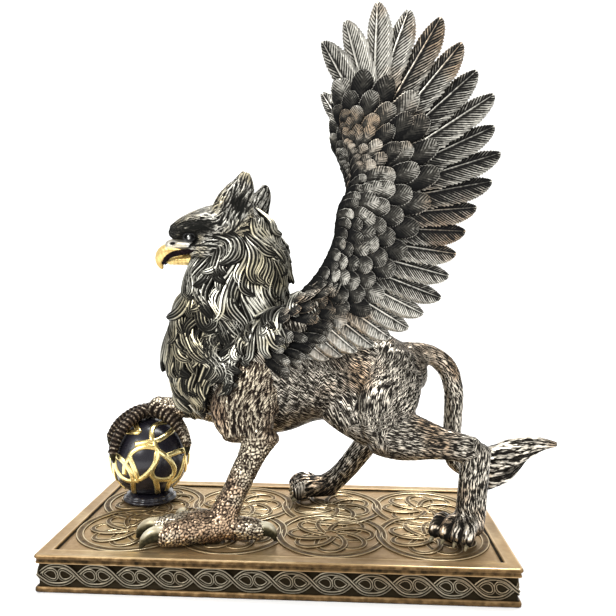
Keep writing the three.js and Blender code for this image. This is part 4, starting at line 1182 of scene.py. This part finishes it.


# Along a lock the colour is darker at its root, as painted shade under the lock that lies over it, and the
# rubbing is fainter at its point
root_shade_and_faint_point = np.interp(np.arange(LOCK_PLACES), (0, 4, 12, 17), (0.5, 1, 1, 0.6))[:, None]
chance = np.random.default_rng(41)
roots = [point for point in base_points[scattered(base_points, LOCK_SPACING, 42)] if in_mane(point)]
for root in sorted(roots, key=lambda point: point[2]):
    length = chance.uniform(*LOCK_LENGTHS) * (0.75 if root[2] > 150 else 1)
    length = min(length, (root[2] - mane_end(root[0])) / 27 + 0.1)
    path, out = trace(base_tree, root, down_neck, LOCK_PLACES, LOCK_STEP * length,
                      chance.uniform(*LOCK_SWAYS), chance.choice((-1, 1)) * chance.uniform(*LOCK_CURLS))
    half = chance.uniform(*LOCK_HALVES)
    points, faces, attributes = lock(path, out, half, 0.2 + 0.52 * half, (0, chance.uniform(*LOCK_LIFTS)),
                                     round(half * STRANDS_PER_MM))
    rows = attributes["relief"].reshape(LOCK_PLACES, -1)
    rows = rows * chance.uniform(0.72, 1.12, rows.shape[1]) * root_shade_and_faint_point
    nape = 0.14 * np.clip((root[0] + 30) / 15, 0, 1)
    attributes = {"relief": rows.ravel(), "tone": np.full(len(points), chance.uniform(-0.22, 0.2) + nape)}
    locks.append((points, faces, attributes))
mane = joined("griffin_mane", locks, GROUND)
CHAMPAGNE = patina("dark_mane_rubbed_champagne", (0.007, 0.007, 0.006), (0.035, 0.033, 0.028),
                   (0.72, 0.7, 0.6), (0.66, 0.59, 0.4), patches=(30, 0.55), edges=(0.7, 1.0),
                   shine=(0, 0.95), roughness=(0.5, 0.36), grain=(600, 0.12))
mane.data.materials.append(CHAMPAGNE)
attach(mane, "root")
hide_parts("griffin")

# Wings: raised, spread feathers on a thick front edge, one wing to each side of the casting. Long flight
# feathers end in fingers along the rim, and rows of shorter coverts overlap their roots on both faces.
WING_EDGE = [(-12, 111), (4, 123.5), (20, 139.5), (29, 158.5), (31, 172.5), (37, 187), (34, 204)]
WING_RIM = [(17, 92), (47, 100), (74, 118), (90, 147), (100, 171), (108, 203), (99, 237), (75, 260),
            (53, 266), (33, 263), (16, 244)]
FEATHER_COUNT = 24
FLIGHT_LENGTH, FLIGHT_HALF = 60, 6.5
COVERT_LENGTH, COVERT_HALF = 28, 6.5
COVERT_COLUMNS = (0.5, 0.86, 1)
# An outline: the width at the root, the share of the length where it is full, and two powers that
# shape its end
POINTED, ROUNDED = (0.5, 0.4, 2.3, 0.6), (0.6, 0.5, 2.2, 0.5)
# Each kind of feather: length, half width, outline, how many barbs, their slant, the dome, the columns from
# the shaft out, how much narrower one side is, and whether it has a shaft
FEATHERS = {
    "flight": (FLIGHT_LENGTH, FLIGHT_HALF, POINTED, 28, 1.6, 0.5, (0.1, 0.3, 0.64, 1), 0.3, True),
    "covert": (COVERT_LENGTH, COVERT_HALF, ROUNDED, 10, 1.2, 1.2, COVERT_COLUMNS, 0, False),
    "scale": (COVERT_LENGTH, COVERT_HALF, ROUNDED, 7, 1, 1.4, COVERT_COLUMNS, 0, False),
}
# Rows of coverts: the kind, from and to shares of the way from edge to rim, how many, how wide for their
# spacing, how far their points stand off the wing's body, and how much paler they are
COVERT_ROWS = [
    ("covert", 0.2, 0.6, 17, 0.78, 2.4, 0.02), ("covert", 0.14, 0.47, 17, 0.8, 3.6, 0.02),
    ("covert", 0.07, 0.35, 17, 0.82, 4.2, 0.04), ("scale", 0.03, 0.255, 19, 0.86, 4, 0.05),
    ("scale", 0, 0.17, 21, 0.95, 3.6, 0.06), ("scale", -0.035, 0.09, 24, 1, 2.6, 0.06),
]
# The least and the greatest half widths of the feathers that spread to fill the wing
FLIGHT_WIDTHS, COVERT_WIDTHS = (4.5, 7.8), (2.4, 6.4)
SHOULDER_FEATHER_SPACING = 5.6
SHOULDER_FEATHER_LENGTHS, SHOULDER_FEATHER_WIDTHS = (12, 17), (2.6, 3.6)
# How closely the flight feathers' roots gather near the tip, and from what share of the way out
FAN_GATHER, FAN_FROM = 0.9, 0.7
# Where across the wing the flight feathers' spacing is measured, and how wide feathers are for their spacing
FAN_SHARE = 0.75
FLIGHT_OVERLAP, COVERT_OVERLAP = 0.6, 0.62
FLIGHT_ROLL, COVERT_ROLL = 0.2, 0.12
# The shares of a feather's length where its end starts to close, and where a covert starts to show
FEATHER_TAPER = 0.64
COVERT_START = 0.34
# The wing's body, that the feathers lie on: its rows out to the tip, and across from edge to rim
CORE_ROWS, CORE_COLUMNS = 40, 20
CORE_FROM, CORE_TO = -0.035, 0.47


def feather_width(t, root, full, bend, blunt):
    """How wide a feather is along its length, for an outline's four numbers"""
    closing = np.clip((t - FEATHER_TAPER) / (1 - FEATHER_TAPER), 0, 1)
    return (root + (1 - root) * np.clip(t / full, 0, 1)) * np.clip(1 - closing ** bend, 0, 1) ** blunt


def vane(name, length, half, outline, barbs, slant, dome, across, lean, shafted):
    """A feather along +X: rows of barbs that slant forward from a raised shaft to a notched edge. `across`
    lists its columns from the shaft out, and `lean` makes the side toward +Y narrower. Without a shaft it
    is a covert: its hidden root is left out, and its underside is plain"""
    v = np.concatenate([-np.array(across)[::-1], [0], across])
    first = 0 if shafted else COVERT_START
    s = np.append([0] * (first > 0), np.linspace(first, 1, 2 * barbs + 1))[:, None]
    chance = np.random.default_rng(barbs)
    rows = len(s)
    parity = (np.arange(rows) % 2)[:, None]
    share = np.where(v > 0, 1 - lean, 1 + lean) * v
    y = np.zeros((rows, len(v)))
    for _ in range(12):
        x = np.minimum(length * s + slant * np.abs(y), length)
        y = 0.5 * y + 0.5 * half * feather_width(x / length, *outline) * share
    x = length * s + slant * np.abs(y)
    y *= 1 - (0.12 * (1 - parity) + 0.1 * chance.random((rows, len(v))) ** 3) * (np.abs(v) == 1)
    side = np.abs(v)
    shaft = (side == 0) * (1.1 - 0.7 * s) * shafted
    rim = (side == 1) * (0 if shafted else 0.3)
    ridge = parity * np.clip(side * 3, 0, 1) * chance.uniform(0.6, 1.1, (rows, 1))
    width = feather_width(np.clip(x / length, 0, 1), *outline)
    height = dome * (1 - side ** 2) * width + 0.34 * ridge + 0.75 * shaft + rim
    # Painted shade: each feather is darker toward its root, where the feathers above lie over it. It is also
    # a little dimmer just behind its bright point.
    fade = 0.5 + 0.5 * np.clip(s / 0.5, 0, 1) - 0.25 * np.clip((s - 0.8) / 0.15, 0, 1)
    relief = (0.06 + 0.8 * ridge * np.where(v > 0, 1 - lean, 1)) * fade
    if shafted:
        relief = np.where(side == 0, 0.9 - 0.3 * s, relief)
        relief = np.where(side == 1, 0.35 + 0.6 * parity, relief)
    else:
        # A covert is darker still toward its root, on its face, its middle and its rim, as painted shade
        # under the row that overlaps it
        relief = (0.2 + 0.55 * relief) * np.clip((s - 0.25) / 0.55, 0.2, 1)
        relief = np.where(side == 0, 0.5 * s, relief)
        relief = np.where(side == 1, 0.4 + 0.6 * s, relief)
    relief = np.where(np.broadcast_to(s > 0.97, relief.shape), 0.85, relief)
    top = np.stack([x, y, height + 0.1], -1)[:, ::-1]
    if shafted:
        low, low_relief = np.stack([x, y, -height - 0.1], -1)[:, 1:-1], relief[:, 1:-1]
    else:
        kept = [1, len(v) // 2, len(v) - 2]
        low, low_relief = np.stack([x, y, 0 * y - 0.35], -1)[:, kept], 0 * relief[:, kept]
    points = np.concatenate([top, low], 1)
    values = np.concatenate([relief[:, ::-1], low_relief], 1)
    return mesh_object(name, points.reshape(-1, 3), grid_faces(rows, points.shape[1]), relief=values.ravel())


def at_share(course, shares):
    """Points at shares of the length of a smooth curve"""
    table = along(course, 300)
    gone = gone_at(table)
    return np.stack([np.interp(np.asarray(shares) * gone[-1], gone, table[:, k]) for k in (0, 1)], -1)


def in_wing(u, share, hand):
    """A place in a wing: `u` runs from the body out to the tip, and `share` from the edge to the rim"""
    u = np.clip(u, 0, 1)
    edge = at_share(WING_EDGE, u * (1.6 - 0.6 * u))
    rim = at_share(WING_RIM, u ** 1.3)
    flat = edge + (rim - edge) * np.asarray(share)[..., None]
    return wing_place(flat[..., 0], flat[..., 1], hand)


def wing_half(u, share):
    """Half the thickness of a wing's body at a place"""
    thick = 6 - 3.4 * u
    return np.interp(share, [-0.04, 0, 0.1, 0.26, 0.4, 0.47], [0, 0.6, 1, 0.6, 0.25, 0.05]) * thick


def repeater(name):
    """A geometry tree that puts copies of a template on points, each by the point's own turn and size"""
    tree = bpy.data.node_groups.new(name, "GeometryNodeTree")
    inputs = {}
    for label, kind in (("Points", "Geometry"), ("Template", "Object"), ("Finish", "Material")):
        socket = tree.interface.new_socket(label, in_out="INPUT", socket_type="NodeSocket" + kind)
        inputs[label] = socket.identifier
    tree.interface.new_socket("Geometry", in_out="OUTPUT", socket_type="NodeSocketGeometry")
    given = node(tree, "NodeGroupInput")
    template = node(tree, "GeometryNodeObjectInfo", {"Object": given.outputs["Template"]})
    turn = node(tree, "GeometryNodeInputNamedAttribute", {"Name": "turn"}, data_type="FLOAT_VECTOR")
    size = node(tree, "GeometryNodeInputNamedAttribute", {"Name": "size"}, data_type="FLOAT_VECTOR")
    rotation = node(tree, "FunctionNodeEulerToRotation", {"Euler": turn.outputs["Attribute"]})
    copies = node(tree, "GeometryNodeInstanceOnPoints",
                  {"Points": given.outputs["Points"], "Instance": template.outputs["Geometry"],
                   "Rotation": rotation.outputs[0], "Scale": size.outputs["Attribute"]})
    real = node(tree, "GeometryNodeRealizeInstances", {"Geometry": copies.outputs[0]})
    finished = node(tree, "GeometryNodeSetMaterial",
                    {"Geometry": real.outputs[0], "Material": given.outputs["Finish"]})
    node(tree, "NodeGroupOutput", {"Geometry": finished.outputs[0]})
    return tree, inputs


REPEATER, REPEATER_INPUTS = repeater("repeat_on_points")


def repeated(name, template, places, turns, sizes, finish, **attributes):
    """Copies of a template object at places in millimetres, as one plain mesh"""
    holder = mesh_object(name + "_places", places, [], turn=turns, size=sizes, **attributes)
    modifier = holder.modifiers.new("repeat", "NODES")
    modifier.node_group = REPEATER
    modifier[REPEATER_INPUTS["Template"]] = template
    modifier[REPEATER_INPUTS["Finish"]] = finish
    return settled(name, holder)


templates = {key: vane(key + "_feather", *values) for key, values in FEATHERS.items()}
SILVERED = patina("dark_feathers_rubbed_champagne_and_copper", (0.007, 0.007, 0.007), (0.05, 0.047, 0.04),
                  (0.8, 0.77, 0.68), (0.58, 0.43, 0.29), patches=(24, 0.56), edges=(0.45, 0.85),
                  shine=(0, 0.95), roughness=(0.48, 0.28), grain=(600, 0.25))
for hand, name in ((-1, "near_wing"), (1, "far_wing")):
    through = unit(np.array((0.0, 1.0, -hand * WING_LEAN))) * hand
    laid = {key: [] for key in templates}
    chance = np.random.default_rng(51)

    def lay(key, base, tip, face, roll, width, tone):
        """Notes one feather from its root to its point, rolled a little so that it overlaps the next"""
        x_axis = unit(tip - base)
        z_axis = unit(face - x_axis * (face @ x_axis))
        z_axis = unit(z_axis * math.cos(roll) + np.cross(z_axis, x_axis) * math.sin(roll))
        turn = Matrix(np.stack([x_axis, np.cross(z_axis, x_axis), z_axis], 1).tolist()).to_euler()
        length, half = FEATHERS[key][:2]
        share = np.linalg.norm(tip - base) / length
        size = (share, width / half, min(1, 0.3 + share))
        laid[key].append((base + (0, 0, GROUND), tuple(turn), size, tone))

    # Flight feathers, fanned out from behind the front edge
    for k in range(FEATHER_COUNT):
        u = (k + 0.5) / FEATHER_COUNT
        late = max(0, u - FAN_FROM)
        base = in_wing(min(u, 1 - FAN_GATHER * late), 0.3 - 0.25 * late, hand)
        tip = in_wing(u, 1 + 0.025 * chance.normal(), hand)
        step = 0.5 / FEATHER_COUNT
        beside = in_wing(u + step, FAN_SHARE, hand) - in_wing(u - step, FAN_SHARE, hand)
        width = np.clip(FLIGHT_OVERLAP * np.linalg.norm(beside), *FLIGHT_WIDTHS)
        tone = chance.uniform(-0.24, -0.04) + 0.6 * abs(u - 0.55)
        lay("flight", base, tip, -hand * through, FLIGHT_ROLL, width, tone)
    # Coverts, on both faces
    for row, (key, low, high, count, wide, stand, tone) in enumerate(COVERT_ROWS):
        for k in range(count):
            u = (k + 0.25 + 0.5 * (row % 2)) / count
            for face in (1, -1):
                out = through * face
                base = in_wing(u, low, hand) + out * (wing_half(u, max(low, 0)) - 2)
                reach = high + 0.016 * chance.normal()
                u = np.clip(u + 0.004 * chance.normal(), 0, 1)
                tip = in_wing(u, reach, hand) + out * (0.6 * wing_half(u, reach) + stand)
                beside = in_wing(u + 0.5 / count, high, hand) - in_wing(u - 0.5 / count, high, hand)
                width = np.clip(COVERT_OVERLAP * wide * np.linalg.norm(beside), *COVERT_WIDTHS)
                roll = hand * face * COVERT_ROLL
                lay(key, base, tip, out, roll, width, tone + chance.uniform(-0.15, 0.1))
    # Shoulder feathers, on the band of the body that the wing grows out of
    for k in scattered(base_points, SHOULDER_FEATHER_SPACING, 52):
        x, y, z = base_points[k]
        if y * hand < 11 or not -10 < x < 34 or not -6 < z - 104 - 0.75 * x < 17:
            continue
        out = base_normals[k]
        way = np.array((0.85, 0, -0.35 + 0.02 * (z - 104)))
        way = unit(way - out * (out @ way))
        tip = base_points[k] + (way * 0.98 + out * 0.16) * chance.uniform(*SHOULDER_FEATHER_LENGTHS)
        width = chance.uniform(*SHOULDER_FEATHER_WIDTHS)
        lay("scale", base_points[k], tip, out, 0, width, chance.uniform(-0.14, 0.08))
    pieces = []
    for key, template in templates.items():
        places, angles, sizes, tones = (list(column) for column in zip(*laid[key]))
        pieces.append(repeated(name + "_" + key, template, places, angles, sizes, SILVERED, tone=tones))
    u, share = np.meshgrid(np.linspace(0, 1, CORE_ROWS), np.linspace(CORE_FROM, CORE_TO, CORE_COLUMNS),
                           indexing="ij")
    flat = in_wing(u, share, hand)
    half = through * wing_half(u, share)[..., None]
    loop = np.concatenate([flat + half, (flat - half)[:, ::-1]], 1)
    core = mesh_object(name + "_core", loop.reshape(-1, 3) + (0, 0, GROUND), grid_faces(*loop.shape[:2]),
                       relief=np.full(loop.shape[0] * loop.shape[1], 0.05))
    core.data.materials.append(SILVERED)
    pieces.append(core)
    with bpy.context.temp_override(active_object=core, selected_editable_objects=pieces, object=core):
        bpy.ops.object.join()
    core.name = name
    core.data.shade_smooth()
    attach(core, "root")
    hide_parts("griffin")
for template in templates.values():
    bpy.data.objects.remove(template)

# Tail tuft: thick locks that twist together out to a flame-shaped point. It is cast with the tail, and
# the ridges of its strands are rubbed bright.
TUFT = [(103, 5, 26, 4, 4.5), (113, 5, 27, 4.5, 10), (122, 4, 33, 5, 9.8), (132, 3, 40, 4, 6.5),
        (143, 2, 44.5, 3, 3.6), (153, 1, 45, 1, 1)]
TUFT_LOCKS = 5
TUFT_TWIST = 0.5
TUFT_LENGTH = 55
TUFT_STRANDS = 3
core = along(TUFT, 40)
tangent = unit(np.gradient(core[:, :3], axis=0))
side = np.array((0.0, 1, 0))
across = unit(side - tangent * (tangent @ side)[:, None])
over = np.cross(tangent, across)
tuft_parts = []
for k in range(TUFT_LOCKS):
    t = np.linspace(0, 1, len(core))
    turn = 2 * math.pi * (k / TUFT_LOCKS + TUFT_TWIST * t)
    out = across * np.cos(turn)[:, None] + over * np.sin(turn)[:, None]
    spot = (core[:, :3] + across * (core[:, 3] * np.cos(turn))[:, None] * 0.55
            + over * (core[:, 4] * np.sin(turn))[:, None] * 0.6)
    grown = core[:, 3:5].mean(axis=1)
    halves = np.stack([1.1 * grown, 0.6 * grown], 1)
    points, faces, attributes = ribbon(spot, out, halves, lock_section(TUFT_STRANDS))
    columns = len(points) // len(spot)
    reach = np.repeat(np.linspace(0, TUFT_LENGTH, len(spot)), columns)
    column = np.tile(np.arange(columns), len(spot))
    attributes["strand"] = np.stack([STRAND_ALONG * reach, 2.0 * column + 9 * k, 0 * reach], 1)
    tuft_parts.append((points, faces, attributes))
tuft = joined("tail_tuft", tuft_parts, GROUND)
tuft.data.materials.append(BROWN_FUR)
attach(tuft, "root")
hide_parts("griffin")
